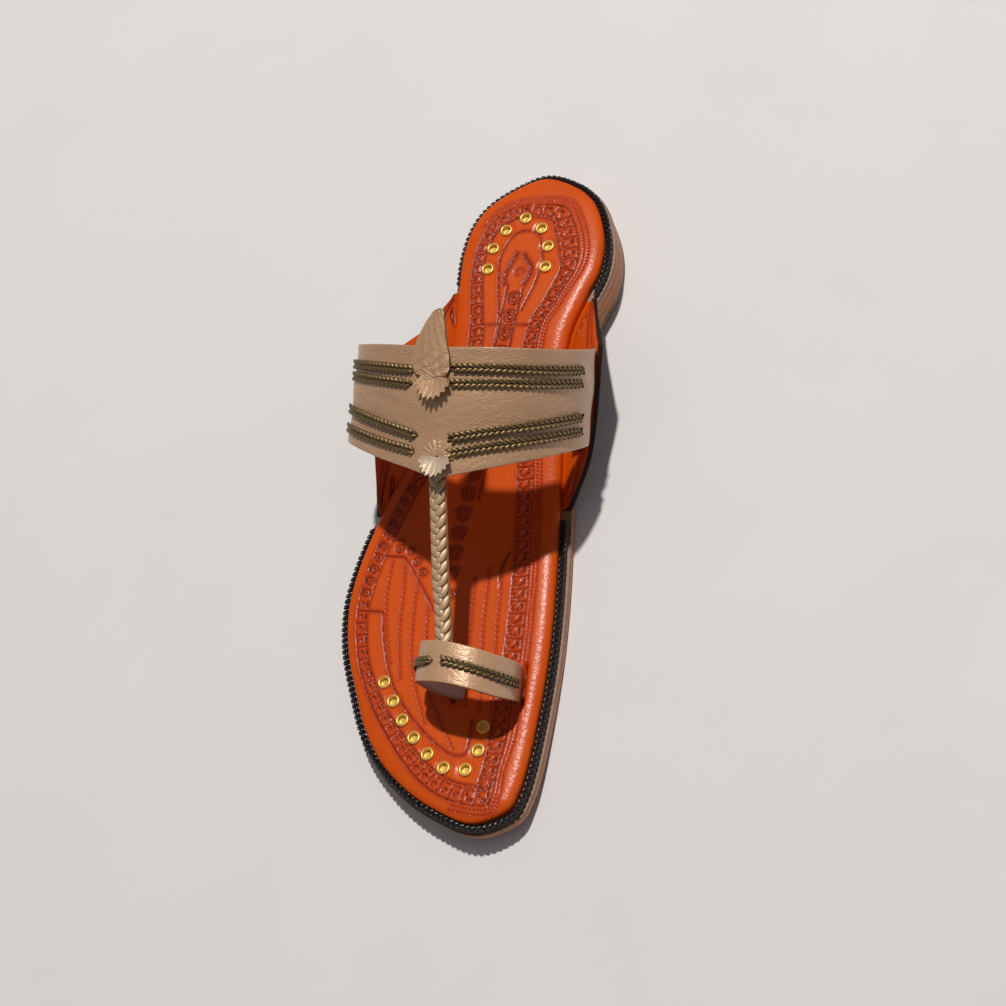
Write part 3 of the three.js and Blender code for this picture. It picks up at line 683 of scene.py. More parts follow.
def add_node(tree, kind, inputs=None, **settings):
    """Adds a node with its settings. An input is a value, or the socket that it is linked from."""
    node = tree.nodes.new("ShaderNode" + kind)
    for name, value in settings.items():
        setattr(node, name, value)
    for name, value in (inputs or {}).items():
        if isinstance(value, bpy.types.NodeSocket):
            tree.links.new(value, node.inputs[name])
        else:
            node.inputs[name].default_value = value
    return node


MIX_A, MIX_B, MIX_RESULT = 6, 7, 2   # sockets of a Mix node that mixes colours


def blend_colours(tree, factor, first, second):
    """First where the factor is 0, second where it is 1."""
    mix = add_node(tree, "Mix", {0: factor, MIX_A: first, MIX_B: second}, data_type="RGBA")
    return mix.outputs[MIX_RESULT]


def mask(tree, value, low, high):
    """1 where the value is at low or under it, falling to 0 at high."""
    share = add_node(tree, "MapRange", {"Value": value, "From Min": low, "From Max": high,
                                        "To Min": 1.0, "To Max": 0.0}, interpolation_type="SMOOTHSTEP")
    return share.outputs["Result"]


def new_finish(name, **shader_values):
    """A material of one Principled shader. Returns it with its node tree, shader and coordinates."""
    material = bpy.data.materials.new(name)
    material.use_nodes = True
    tree = material.node_tree
    shader = tree.nodes["Principled BSDF"]
    for socket, value in shader_values.items():
        shader.inputs[socket.replace("_", " ")].default_value = value
    coordinates_node = add_node(tree, "TexCoord")
    return material, tree, shader, coordinates_node


def noise(tree, vector, size, detail=3.0, roughness=0.55):
    """Noise whose features are about size millimetres across."""
    texture = add_node(tree, "TexNoise", {"Vector": vector, "Scale": 1 / (size * MM), "Detail": detail,
                                          "Roughness": roughness})
    return texture.outputs["Fac"]


def relief(tree, shader, height, depth, normal=None):
    """Bump of a real depth in millimetres, on top of another normal."""
    inputs = {"Height": height, "Distance": depth * MM, "Strength": 1.0}
    if normal is not None:
        inputs["Normal"] = normal
    bump = add_node(tree, "Bump", inputs)
    for socket in ("Normal", "Coat Normal"):
        tree.links.new(bump.outputs["Normal"], shader.inputs[socket])
    return bump.outputs["Normal"]


def pebble(tree, vector, size, stretch=(1, 1, 1)):
    """Leather grain: rounded cells about size millimetres wide."""
    mapped = add_node(tree, "Mapping", {"Vector": vector, "Scale": stretch})
    cells = add_node(tree, "TexVoronoi", {"Vector": mapped.outputs["Vector"], "Scale": 1 / (size * MM)},
                     feature="SMOOTH_F1")
    return cells.outputs["Distance"]


def glazed_leather():
    # Vegetable-tanned buffalo hide, dyed orange by hand, pressed with stamps, then waxed and glazed.
    # Cloudy dye and a wet gloss, with dye gathered red-brown in the stamped marks and burnt in their floors.
    material, tree, shader, spots = new_finish(
        "glazed_veg_tan_leather", Roughness=0.5, Specular_IOR_Level=0.12, Coat_Weight=0.27, Coat_Roughness=0.24)
    place = spots.outputs["Object"]
    stroke = add_node(tree, "Attribute", attribute_name="stroke").outputs["Fac"]
    colour = blend_colours(tree, noise(tree, place, 16.0), linear("#DA5606"), linear("#C04604"))
    flecks = mask(tree, noise(tree, place, 0.9, 4.0), 0.30, 0.46)
    colour = blend_colours(tree, flecks, colour, linear("#CC500A"))
    colour = blend_colours(tree, mask(tree, stroke, 0.4, 1.9), colour, linear("#B53A06"))
    colour = blend_colours(tree, mask(tree, stroke, 0.05, 0.42), colour, linear("#5E1A06"))
    tree.links.new(colour, shader.inputs["Base Color"])
    grain = relief(tree, shader, pebble(tree, place, 1.1), 0.06)
    fine = relief(tree, shader, noise(tree, place, 0.5, 3.0), 0.03, grain)
    relief(tree, shader, mask(tree, stroke, 0.0, 0.5), -0.15, fine)
    return material


def cut_edge(name, colour, second, roughness=0.55):
    # Cut edge of a hide, trimmed with a knife and rubbed with wax: close fibre, a little streaky. The ears' near
    # black one also covers their outer faces, as painted shade.
    material, tree, shader, spots = new_finish(name, Roughness=roughness, Specular_IOR_Level=0.2)
    place = spots.outputs["Object"]
    mixed = blend_colours(tree, noise(tree, place, 1.2, 5.0), linear(colour), linear(second))
    tree.links.new(mixed, shader.inputs["Base Color"])
    relief(tree, shader, noise(tree, place, 0.4, 4.0), 0.08)
    return material


def taupe_leather():
    # Goat leather with a pearl finish sprayed on: taupe with a silky sheen and a fine pebbled grain.
    material, tree, shader, spots = new_finish(
        "pearl_goat_leather", Roughness=0.42, IOR=1.5, Metallic=0.18,
        Sheen_Weight=0.25, Sheen_Roughness=0.35, Coat_Weight=0.22, Coat_Roughness=0.34)
    place = spots.outputs["UV"]
    cells = pebble(tree, place, 0.8, (0.55, 1.25, 1.0))
    colour = blend_colours(tree, noise(tree, place, 11.0, 4.0), linear("#C9A07C"), linear("#B88E6B"))
    colour = blend_colours(tree, mask(tree, cells, 0.0, 0.5), colour, linear("#C79E7C"))
    tree.links.new(colour, shader.inputs["Base Color"])
    grain = relief(tree, shader, cells, -0.14)
    relief(tree, shader, noise(tree, place, 4.0, 5.0), 0.30, grain)
    return material


def lining_twill():
    # Cotton twill lining glued under the straps: mauve brown, in fine slanting ribs about 0.7 mm apart.
    material, tree, shader, spots = new_finish("cotton_twill_lining", Roughness=0.85, Sheen_Weight=0.2)
    place = spots.outputs["UV"]
    ribs = add_node(tree, "TexWave", {"Vector": place, "Scale": 0.314 / (0.7 * MM), "Distortion": 1.2,
                                      "Detail": 2.0}, bands_direction="DIAGONAL")
    colour = blend_colours(tree, ribs.outputs["Fac"], linear("#B8958A"), linear("#C7A99D"))
    tree.links.new(colour, shader.inputs["Base Color"])
    relief(tree, shader, ribs.outputs["Fac"], 0.12)
    return material


def foil_leather(name, light, dark, metallic, roughness):
    # Leather lace faced with metal foil, plaited wet: a worn foil colour on each bight's crown, and painted shade,
    # a dark colour, towards its low edges where strands tuck under.
    material, tree, shader, spots = new_finish(name, Roughness=roughness, Metallic=metallic)
    place = spots.outputs["Object"]
    crown = add_node(tree, "Attribute", attribute_name="crown").outputs["Fac"]
    worn = blend_colours(tree, noise(tree, place, 1.4, 4.0), linear(light[0]), linear(light[1]))
    # painted shade: the dark colour where a bight falls low towards its edges, and all over the cores, whose crown
    # is 0
    colour = blend_colours(tree, mask(tree, crown, 0.05, 0.75), worn, linear(dark))
    tree.links.new(colour, shader.inputs["Base Color"])
    relief(tree, shader, noise(tree, place, 0.5, 4.0), 0.10)
    return material


def layered_edge(name, top, bottom, line, line_at, roughness=0.5):
    # Edge of stacked leather, sanded, stained and burnished: long grain lines that follow the layer.
    material, tree, shader, spots = new_finish(name, Roughness=roughness, Specular_IOR_Level=0.3)
    place = spots.outputs["Object"]
    layer = add_node(tree, "Attribute", attribute_name="layer").outputs["Fac"]
    lengthwise = add_node(tree, "Mapping", {"Vector": place, "Scale": (0.12, 0.12, 1.0)})
    fibre = noise(tree, lengthwise.outputs["Vector"], 0.45, 5.0)
    colour = blend_colours(tree, layer, linear(bottom), linear(top))
    colour = blend_colours(tree, mask(tree, fibre, 0.22, 0.50), colour, linear(line))
    colour = blend_colours(tree, mask(tree, layer, line_at, line_at + 0.16), colour, linear(line))
    tree.links.new(colour, shader.inputs["Base Color"])
    relief(tree, shader, fibre, 0.07)
    return material


def crepe_rubber():
    # Moulded rubber top piece, olive grey and dull, with a fine pitted skin.
    material, tree, shader, spots = new_finish("crepe_rubber", Roughness=0.75)
    place = spots.outputs["Object"]
    colour = blend_colours(tree, noise(tree, place, 2.5, 5.0), linear("#8E7A64"), linear("#73634F"))
    tree.links.new(colour, shader.inputs["Base Color"])
    relief(tree, shader, noise(tree, place, 0.6, 4.0), 0.10)
    return material


def turned_brass():
    # Stamped brass eyelets: yellow metal with faint drawing marks and dulled patches.
    material, tree, shader, spots = new_finish("stamped_brass", Metallic=0.6, Roughness=0.34)
    place = spots.outputs["Object"]
    colour = blend_colours(tree, noise(tree, place, 1.2, 4.0), linear("#F4D078"), linear("#DDAA40"))
    tree.links.new(colour, shader.inputs["Base Color"])
    relief(tree, shader, noise(tree, place, 0.5, 3.0), 0.02)
    return material


def floor_paper():
    # Pale seamless paper under the sandal, matt, with the faintest mottling.
    material, tree, shader, spots = new_finish("matt_paper", Roughness=0.9)
    place = spots.outputs["Object"]
    colour = blend_colours(tree, noise(tree, place, 60.0), linear("#E2E0E1"), linear("#DCDADC"))
    tree.links.new(colour, shader.inputs["Base Color"])
    return material


GLAZED = glazed_leather()
TAUPE = taupe_leather()
LINING = lining_twill()
# near black on the ears' rims and on their outer faces; on the outer faces it is painted shade
EAR_RIM_AND_PAINTED_SHADE = cut_edge("waxed_ear_rim_and_painted_shade_face", "#2E120B", "#1E0B07", 0.8)
STRAP_EDGE = cut_edge("raw_tan_edge", "#B4703E", "#8A5430")
TAUPE_EDGE = cut_edge("painted_taupe_edge", "#8C6F52", "#75593F")
BRONZE_LACE = foil_leather("bronze_foil_lace", ("#93784F", "#6B5536"), "#1C130B", 0.6, 0.33)
PEARL_LACE = foil_leather("pearl_foil_lace", ("#CFAE8C", "#B5926E"), "#33210F", 0.25, 0.40)
BLACK_LACE = foil_leather("waxed_black_lace", ("#2A2C31", "#191A1E"), "#060607", 0.0, 0.22)
SILVERED = foil_leather("silvered_goat_leather", ("#DCC7AE", "#C4A88C"), "#B39A80", 0.25, 0.35)
BRASS = turned_brass()


# ---------------------------------------------------------------- sole
def sole_layer(name, offsets, heights, spans, rungs, material):
    """A layer across the foot: offsets and heights of its top and bottom faces, from y to y."""
    piece, s, t, depth = thick_grid(name, 2, rungs)
    whole = spans[0] == TOE_TIP[1]
    eased = (1 - np.cos(np.pi * t)) / 2 if whole else np.sin(np.pi / 2 * t)
    y = spans[0] + (spans[1] - spans[0]) * eased
    offset = offsets[0] + (offsets[1] - offsets[0]) * depth
    lateral, medial = np.zeros((len(y), 2)), np.zeros((len(y), 2))
    for value in np.unique(offset):
        own = offset == value
        lateral[own] = edge_point("lateral", y[own], value)
        medial[own] = edge_point("medial", y[own], value)
    flat = lateral + (medial - lateral) * s[:, None]
    height = np.where(depth == 0, heights[0](flat[:, 1]), heights[1](flat[:, 1]))
    set_coordinates(piece, to_metres(np.column_stack([flat, height])))
    set_attribute(piece, "layer", 1 - depth)
    bpy.ops.object.mode_set(mode="EDIT")
    bpy.ops.mesh.select_all(action="SELECT")
    bpy.ops.mesh.remove_doubles(threshold=1e-5)
    bpy.ops.object.mode_set(mode="OBJECT")
    face_outwards(piece)
    soften(piece, 0.35)
    return dress(piece, [material], [name.removesuffix("_layer")])


def below_foot(drop):
    return lambda y: foot_height(y) - drop


def level(height):
    return lambda y: np.full_like(y, height)


MIDSOLE_TOP = FOOTBED_THICKNESS
MIDSOLE_BOTTOM = MIDSOLE_TOP + GAP + MIDSOLE_THICKNESS
OUTSOLE_BOTTOM = MIDSOLE_BOTTOM + GAP + OUTSOLE_THICKNESS
HEEL_LIFTS = [  # name, top and bottom of the visible edge
    ("heel_lift_upper", below_foot(OUTSOLE_BOTTOM), 7.15),
    ("heel_lift_lower", level(7.15), 2.65),
    ("heel_top_piece", level(2.65), 0.0),
]


def make_sole():
    whole = (TOE_TIP[1], HEEL_BACK[1])
    # painted shade: the midsole's top colour, #8E6A54, is darker and greyer than its bottom, for the shade under
    # the welt
    midsole_edge = layered_edge("burnished_midsole_edge_with_painted_shade", "#8E6A54", "#B08468", "#6E4E3C", 0.02)
    outsole_edge = layered_edge("burnished_outsole_edge", "#CC8C64", "#C47C4E", "#8A3A20", 0.06)
    upper_edge = layered_edge("stacked_heel_edge", "#C27A50", "#B86C44", "#8E4426", 0.04)
    lower_edge = layered_edge("stacked_lower_edge", "#B8805A", "#A66E4A", "#7E4A30", 0.06)
    rubber = crepe_rubber()
    sole_layer("midsole_layer", (SOLE_MARGIN, SOLE_MARGIN + 0.1),
               (below_foot(MIDSOLE_TOP), below_foot(MIDSOLE_BOTTOM)), whole, 220,
               midsole_edge)
    sole_layer("outsole_layer", (SOLE_MARGIN + 0.1, SOLE_MARGIN - 0.3),
               (below_foot(MIDSOLE_BOTTOM), below_foot(OUTSOLE_BOTTOM)), whole, 220,
               outsole_edge)
    finishes = [("sole_leather", upper_edge), ("sole_leather", lower_edge), ("heel_rubber", rubber)]
    for index, ((name, top, bottom), (slot, material)) in enumerate(zip(HEEL_LIFTS, finishes)):
        margin = SOLE_MARGIN - LIFT_TAPER * (index + 1)
        breast = HEEL_BREAST_Y + BREAST_STEP * index
        sole_layer(name + "_layer", (margin, margin - 0.2), (top, level(bottom)),
                   (breast, HEEL_BACK[1]), 90, material)


# ---------------------------------------------------------------- footbed
FOOTBED_GRID = (150, 480)     # columns and rows, so that a face is about half a millimetre
ROLL = 9.0                    # width of the rolled edge
ROLL_DROP = 2.8
ROLL_ROUND = 2.3              # roundness of the roll: 2 is a quarter of an ellipse
WALL = [(0.0, 3.6), (-0.5, 4.5), (-1.3, FOOTBED_THICKNESS)]   # offset and drop below the roll
BULGE = 0.45                  # the padding swells over its edge, most at the lateral side and the heel
LEAN = np.array([-1.15, 1.0])


def select_edges(piece, chosen):
    """Selects the edges whose two vertices are both chosen."""
    mesh = piece.data
    ends = np.empty(len(mesh.edges) * 2, np.int32)
    mesh.edges.foreach_get("vertices", ends)
    mesh.vertices.foreach_set("select", chosen)
    mesh.edges.foreach_set("select", chosen[ends.reshape(-1, 2)].all(1))
    mesh.polygons.foreach_set("select", np.zeros(len(mesh.polygons), bool))
    mesh.update()


def close_underside(piece, bottom):
    """Bridges the two long sides of the bottom loop and fills its two ends."""
    bpy.context.tool_settings.mesh_select_mode = (False, True, False)
    grid = coordinates(piece)
    low = np.abs(grid[:, 2] - bottom) < 0.1
    long_sides = low & (np.abs(np.abs(grid[:, 0]) - 1) < 1e-4)
    select_edges(piece, long_sides)
    bpy.ops.object.mode_set(mode="EDIT")
    bpy.ops.mesh.bridge_edge_loops()
    bpy.ops.object.mode_set(mode="OBJECT")
    for end in (-1, 1):
        grid = coordinates(piece)
        select_edges(piece, (np.abs(grid[:, 2] - bottom) < 0.1) & (np.abs(grid[:, 1] - end) < 1e-4))
        bpy.ops.object.mode_set(mode="EDIT")
        bpy.ops.mesh.edge_face_add()
        bpy.ops.object.mode_set(mode="OBJECT")


def make_footbed():
    piece = add_primitive(bpy.ops.mesh.primitive_grid_add, "footbed_leather",
                          x_subdivisions=FOOTBED_GRID[0], y_subdivisions=FOOTBED_GRID[1], size=2)
    bpy.context.tool_settings.mesh_select_mode = (False, True, False)
    bpy.ops.object.mode_set(mode="EDIT")
    bpy.ops.mesh.select_all(action="DESELECT")
    bpy.ops.mesh.select_non_manifold(extend=False, use_wire=False, use_multi_face=False,
                                     use_non_contiguous=False, use_verts=False)
    for _ in WALL:
        bpy.ops.mesh.extrude_edges_move(TRANSFORM_OT_translate={"value": (0, 0, -1)})
    bpy.ops.object.mode_set(mode="OBJECT")
    close_underside(piece, -len(WALL))
    grid = coordinates(piece)
    s, t, ring = grid[:, 0], grid[:, 1], np.round(-grid[:, 2]).astype(int)
    wide, long = s * np.sqrt(1 - t ** 2 / 2), t * np.sqrt(1 - s ** 2 / 2)
    y = (HEEL_BACK[1] + TOE_TIP[1]) / 2 + long * (HEEL_BACK[1] - TOE_TIP[1]) / 2
    lateral, medial = edge_point("lateral", y)[:, 0], edge_point("medial", y)[:, 0]
    chord = np.sqrt(np.maximum(1 - long ** 2, 1e-9))
    x = (lateral + medial) / 2 + np.clip(wide / chord, -1, 1) * (medial - lateral) / 2
    tree = KDTree(OUTLINE_STEPS)
    for i, point in enumerate(OUTLINE):
        tree.insert((*point, 0), i)
    tree.balance()
    found = [tree.find((a, b, 0)) for a, b in zip(x, y)]
    index = np.array([row[1] for row in found])
    inside = np.array([row[2] for row in found])
    rest = 1 - np.clip(inside / ROLL, 0, 1)
    drop = ROLL_DROP * (1 - (1 - rest ** ROLL_ROUND) ** (1 / ROLL_ROUND))
    offset = np.zeros(len(x))
    for number, (out, down) in enumerate(WALL, 1):
        drop[ring == number] = down
        offset[ring == number] = out
    outward = OUTLINE_OUTWARD[index]
    swell = (BULGE + outward @ LEAN) * np.array([1.0, 0.9, 0.4, 0.0])[ring]
    offset += swell * smoothstep((ROLL - inside) / ROLL)
    flat = np.column_stack([x, y]) + outward * offset[:, None]
    top = ring == 0
    pressed, nearest = np.zeros(len(x)), np.full(len(x), 9.0)
    pressed[top], nearest[top] = press(flat[top], tooling())
    for ex, ey in EYELET_PLACES.values():
        away = np.hypot(flat[:, 0] - ex, flat[:, 1] - ey)
        pressed = np.where(top, np.maximum(pressed, 2.6 * (1 - smoothstep((away - 1.2) / 0.9))), pressed)
        dip = 0.35 * np.exp(-((away - 2.9) / 0.8) ** 2)
        pressed = np.where(top & (away < 5), np.maximum(pressed, dip), pressed)
    height = foot_height(flat[:, 1]) - drop - pressed
    set_coordinates(piece, to_metres(np.column_stack([flat, height])))
    set_attribute(piece, "stroke", nearest)
    face_outwards(piece)
    soften(piece)
    return dress(piece, [GLAZED], ["footbed"])


# ---------------------------------------------------------------- ears
def ear_strokes(side, ys):
    """A creased line and a beaded line near the rim, and a leaf mark towards each end."""
    def on_ear(points):
        points = np.array(points, float)
        return ear_face(side, points[:, 0], points[:, 1])

    long = np.linspace(ys[0] - 3, ys[-1] + 3, 400)
    strokes = [(on_ear(np.column_stack([long, np.full(400, 0.80)])), CREASE)]
    strokes += [(on_ear([(y, 0.89), (y, 0.895)]), PRICK) for y in np.arange(ys[-1] + 4, ys[0] - 3, PRICK_PITCH)]
    for y in (ys[-1] + 11, ys[0] - 11):
        for bow in (-1.2, 1.2):
            t = np.linspace(0, 1, 40)
            strokes.append((on_ear(np.column_stack(
                [y + 7 * (t - 0.5), 0.52 + 0.22 * (t - 0.5) + 0.05 * bow * np.sin(np.pi * t)])), STAMP))
    return strokes


EAR_TUCK = 1.6     # the foot of an ear reaches this far in under the footbed's swollen edge


def make_ear(side):
    samples = EAR_RIM_SAMPLES[side][:, 1]
    inset = 6
    ys = samples[inset], samples[-1 - inset]
    strokes = ear_strokes(side, ys)
    rows, columns = 240, 44
    state = {}

    def place(s, t, depth):
        y = np.interp(t, np.linspace(0, 1, len(samples) - 2 * inset), samples[inset:-inset][::-1])
        face = ear_face(side, y, s)
        back = ear_face(side, y, s, -EAR_THICKNESS)
        pressed, nearest = press(face, strokes)
        state["stroke"] = np.where(depth == 0, nearest, 9.0)
        point = np.where(depth[:, None] == 0, face + unit(back - face) * pressed[:, None], back)
        floor = foot_height(y) - FOOTBED_THICKNESS
        point[:, 2] = np.maximum(point[:, 2], floor)
        inwards = -1 if side == "medial" else 1
        point[:, 0] += inwards * EAR_TUCK * (1 - smoothstep(s / 0.3))
        return point

    piece = slab(f"ear_{side}_leather", columns, rows, place, (24, 90), edge=0)
    set_attribute(piece, "stroke", state["stroke"])
    soften(piece, 0.35, angle=60)
    # the ear's back, its outer face, takes the near black colour as painted shade
    return dress(piece, [GLAZED, EAR_RIM_AND_PAINTED_SHADE, EAR_RIM_AND_PAINTED_SHADE], [f"ear_{side}"])


# ---------------------------------------------------------------- welt
WELT_RUNS = {  # node: side and y where it starts, side and y where it ends, through heel or toe
    "welt_heel": (("lateral", 86), ("medial", 79), HEEL_BACK[1]),
    "welt_forefoot": (("medial", -12), ("lateral", -13), TOE_TIP[1]),
}


def welt_path(start, end, turn):
    """Centre line of the welt in the channel round the footbed, from one ear to the other."""
    def run(side, y):
        ys = turn + (y - turn) * (1 - np.cos(np.linspace(0, np.pi / 2, 160)))
        return edge_point(side, ys, WELT_RADIUS + GAP)

    flat = np.vstack([run(*start)[::-1], run(*end)[1:]])
    return np.column_stack([flat, foot_height(flat[:, 1]) - FOOTBED_THICKNESS + WELT_RADIUS])


def tube(name, path, radius):
    """A round cord along a path, with closed ends."""
    curve = bpy.data.curves.new(name, "CURVE")
    curve.dimensions = "3D"
    curve.bevel_depth = radius * MM
    curve.bevel_resolution = 2
    curve.use_fill_caps = True
    line = curve.splines.new("POLY")
    line.points.add(len(path) - 1)
    line.points.foreach_set("co", np.column_stack([to_metres(path), np.ones(len(path))]).ravel())
    piece = bpy.data.objects.new(name, curve)
    bpy.context.scene.collection.objects.link(piece)
    make_active(piece)
    bpy.ops.object.convert(target="MESH")
    piece = bpy.context.object
    return soften(piece)


def make_welt(bight):
    for node, (start, end, turn) in WELT_RUNS.items():
        path = welt_path(start, end, turn)
        forward = unit(np.gradient(path, axis=0))
        upright = np.array([0, 0, 1.0])
        outward = unit(np.cross(forward, upright))
        lateral = smoothstep((-20 - path[:, :1]) / 12)
        path += outward * (0.2 - 1.1 * lateral) - upright * (0.35 + 0.5 * lateral)
        # painted shade: the core's crown of 0 gives it the lace's darkest colour all over, for the gaps between
        # bights
        core = tube(node + "_core", path, WELT_RADIUS - 0.75)
        dress(core, [BLACK_LACE])
        set_attribute(core, "crown", np.zeros(len(core.data.vertices)))
        up = unit(upright + outward * 0.95)
        braid = plait(node + "_braid", path, up, 3.5, 2.3, (4.0, 1.8, 1.35), 37, bight, drop=-0.45)
        dress(braid, [BLACK_LACE], [node])


# ---------------------------------------------------------------- band, ring and centre strap
BAND_LENGTH, BAND_WIDTH = 200.0, 46.8     # along the arch, and across it at the crown
RING_LENGTH, RING_WIDTH = 96.0, 14.6
TOP_LAYER = 1.35                          # taupe leather, with the lining below it


def make_band():
    def wear(s, t):
        """Soft ridges beside the plaits and a crease across the lateral half."""
        across = 1 - t
        ridge = 0.30 * np.sin(2 * np.pi * (across - 0.27) / 0.56) * smoothstep(np.minimum(s, 1 - s) / 0.25)
        fold = np.exp(-((across - 0.47 - 0.9 * (s - 0.36)) / 0.035) ** 2) * smoothstep(1 - np.abs(s - 0.36) / 0.09)
        return s, across, ridge - 0.35 * fold

    top = strap("band_leather", band_surface, (0, 1), (0, 1), (0, -TOP_LAYER), 168, 40,
                (BAND_LENGTH, BAND_WIDTH), edge=0.4, shape=wear)
    dress(top, [TAUPE, TAUPE_EDGE, LINING], ["upper"])
    inset = 0.014
    lining = strap("band_lining", band_surface, (0.003, 0.997), (inset, 1 - inset),
                   (-TOP_LAYER + 0.2, -UPPER_THICKNESS), 168, 20, (BAND_LENGTH, BAND_WIDTH), edge=0.2)
    dress(lining, [LINING, STRAP_EDGE, LINING])


def make_ring():
    top = strap("ring_leather", ring_surface, (0, 1), (0, 1), (0, -TOP_LAYER), 120, 16,
                (RING_LENGTH, RING_WIDTH), edge=0.4)
    dress(top, [TAUPE, STRAP_EDGE, LINING])
    lining = strap("ring_lining", ring_surface, (0, 1), (0.03, 0.97), (-TOP_LAYER - 0.03, -UPPER_THICKNESS),
                   120, 8, (RING_LENGTH, RING_WIDTH), edge=0.2)
    dress(lining, [LINING, STRAP_EDGE, LINING])


def make_centre_strap(bight):
    backing = strap("centre_strap_backing", centre_strap_surface, (0, 1), (0, 1), (-1.7, -2.9), 60, 6,
                    (70, CENTRE_STRAP_WIDTH), edge=0.25)
    dress(backing, [STRAP_EDGE, STRAP_EDGE, LINING])
    along = np.linspace(0, 1, 200)
    half = np.full(200, 0.5)
    path = centre_strap_surface(along, half)
    up = normals_of(centre_strap_surface, along, half)
    braid = plait("centre_strap_plait", path, up, 4.8, 4.2, (6.9, 3.3, 1.9), 31,
                  (bight[0] * (-1, 1, 1), bight[1]), drop=1.25, tilt=-14.0)
    dress(braid, [PEARL_LACE])


CORDS = [  # name, surface, start and end as shares along and across it
    ("cord_medial_1", "band", (0.50, 0.16), (0.76, 0.21)),
    ("cord_medial_2", "band", (0.50, 0.28), (0.76, 0.34)),
    ("cord_medial_3", "band", (0.51, 0.70), (0.77, 0.68)),
    ("cord_medial_4", "band", (0.51, 0.82), (0.77, 0.82)),
    ("cord_lateral_1", "band", (0.28, 0.20), (0.43, 0.20)),
    ("cord_lateral_2", "band", (0.28, 0.32), (0.43, 0.32)),
    ("cord_lateral_3", "band", (0.27, 0.65), (0.45, 0.72)),
    ("cord_lateral_4", "band", (0.26, 0.85), (0.45, 0.85)),
    ("cord_ring_lateral", "ring", (0.26, 0.60), (0.49, 0.50)),
    ("cord_ring_medial", "ring", (0.52, 0.48), (0.86, 0.56)),
]
SURFACES = {"band": band_surface, "ring": ring_surface}


def make_cords(bight):
    for name, surface, start, end in CORDS:
        path, up = cord_on(SURFACES[surface], start, end, 0.35)
        braid = plait(name, path, up, 2.9, 2.2, (4.1, 1.6, 1.7), 26, bight, drop=-0.1)
        dress(braid, [BRONZE_LACE])
        # painted shade: the core's crown of 0 gives it the lace's darkest colour all over, for the gaps between
        # bights
        core = tube(name + "_core", path, 0.62)
        set_attribute(core, "crown", np.zeros(len(core.data.vertices)))
        dress(core, [BRONZE_LACE])


# ---------------------------------------------------------------- leaf and rosettes
LEAF_ROWS = [  # across the band, half width, shift from the crown
    (-0.292, 0.4, -6.0), (-0.282, 1.5, -6.3), (-0.260, 2.3, -6.7), (-0.200, 3.4, -7.3), (-0.100, 5.0, -7.9),
    (0.000, 6.3, -8.0), (0.080, 7.0, -7.6), (0.150, 7.1, -7.2), (0.190, 6.9, -7.0), (0.222, 5.9, -6.9),
    (0.240, 3.6, -6.9),
]
FOLDS = {"upper": (0.475, 0.235), "lower": (0.496, 0.845)}     # where each rosette is pulled through
RAY_COUNT = 16


def polar_from(fold, along, across):
    """Distance and bearing of a place on the band from a fold, with 0 towards the heel edge."""
    dx = (along - fold[0]) * BAND_LENGTH
    dy = (fold[1] - across) * BAND_WIDTH
    return np.hypot(dx, dy), np.arctan2(dx, dy)


def rays(distance, bearing, depth):
    """Creases that fan out from a fold."""
    return depth * np.cos(RAY_COUNT * bearing) * smoothstep((distance - 1.5) / 2.5)


def make_leaf():
    rows = np.array(LEAF_ROWS)
    curve = spline(rows, centripetal=False)

    def shape(s, t):
        across, half, shift = curve(1 - t).T
        along = CROWN + (shift + (2 * s - 1) * half) / BAND_LENGTH
        distance, bearing = polar_from(FOLDS["upper"], along, across)
        near = 1 - smoothstep((distance - 5.5) / 2.5)
        cushion = 0.35 * (1 - (2 * s - 1) ** 2) + 0.2 * np.sin(19 * s + 3 * np.sin(9 * t)) * np.sin(23 * t + 4 * s)
        return along, across, rays(distance, bearing, 0.10) * near + cushion

    piece = strap("leaf_tongue_leather", band_beyond, (0, 1), (0, 1), (1.35, 0.1), 40, 110, (14, 27),
                  edge=0.3, shape=shape)
    dress(piece, [TAUPE, TAUPE_EDGE, LINING], ["leaf_tongue"])


def make_fan():
    fold = FOLDS["lower"]

    def shape(s, t):
        bearing = (2 * s - 1) * math.radians(104)
        distance = 0.4 + (5.7 + 0.25 * np.cos(RAY_COUNT * bearing)) * t
        along = fold[0] + distance * np.sin(bearing) / BAND_LENGTH
        across = fold[1] - distance * np.cos(bearing) / BAND_WIDTH
        return along, across, rays(distance, bearing, 0.09) + 0.5 * (1 - t ** 2)

    piece = strap("rosette_fan_leather", band_beyond, (0, 1), (0, 1), (0.75, 0.05), 128, 18, (24, 8),
                  edge=0.2, shape=shape)
    dress(piece, [TAUPE, TAUPE_EDGE, LINING], ["rosette_lower"])


def make_flap(name, fold, teeth, reach, lift, leather):
    """Pinked end of a strip pulled through the fold, standing off the band towards the toe."""
    def shape(s, t):
        bearing = (2 * s - 1) * math.radians(78)
        tooth = np.abs(((s * teeth) % 1) - 0.5) * 2
        edge = reach * (1 - 0.18 * tooth)
        dx = (1 - t) * (2 * s - 1) * 4.6 + t * edge * 0.78 * np.sin(bearing)
        dy = t * edge * np.cos(bearing)
        along = fold[0] + dx / BAND_LENGTH
        across = fold[1] + 0.004 + dy / BAND_WIDTH
        return along, across, lift * (np.hypot(dx, dy) / reach) ** 1.4 + rays(np.hypot(dx, dy), bearing, 0.05)

    piece = strap(name, band_beyond, (0, 1), (0, 1), (1.3, 0.5), teeth * 8, 14, (22, 9), edge=0.15,
                  shape=lambda s, t: shape(s, 1 - t))
    set_attribute(piece, "crown", np.ones(len(piece.data.vertices)))
    dress(piece, [leather, TAUPE_EDGE, LINING])


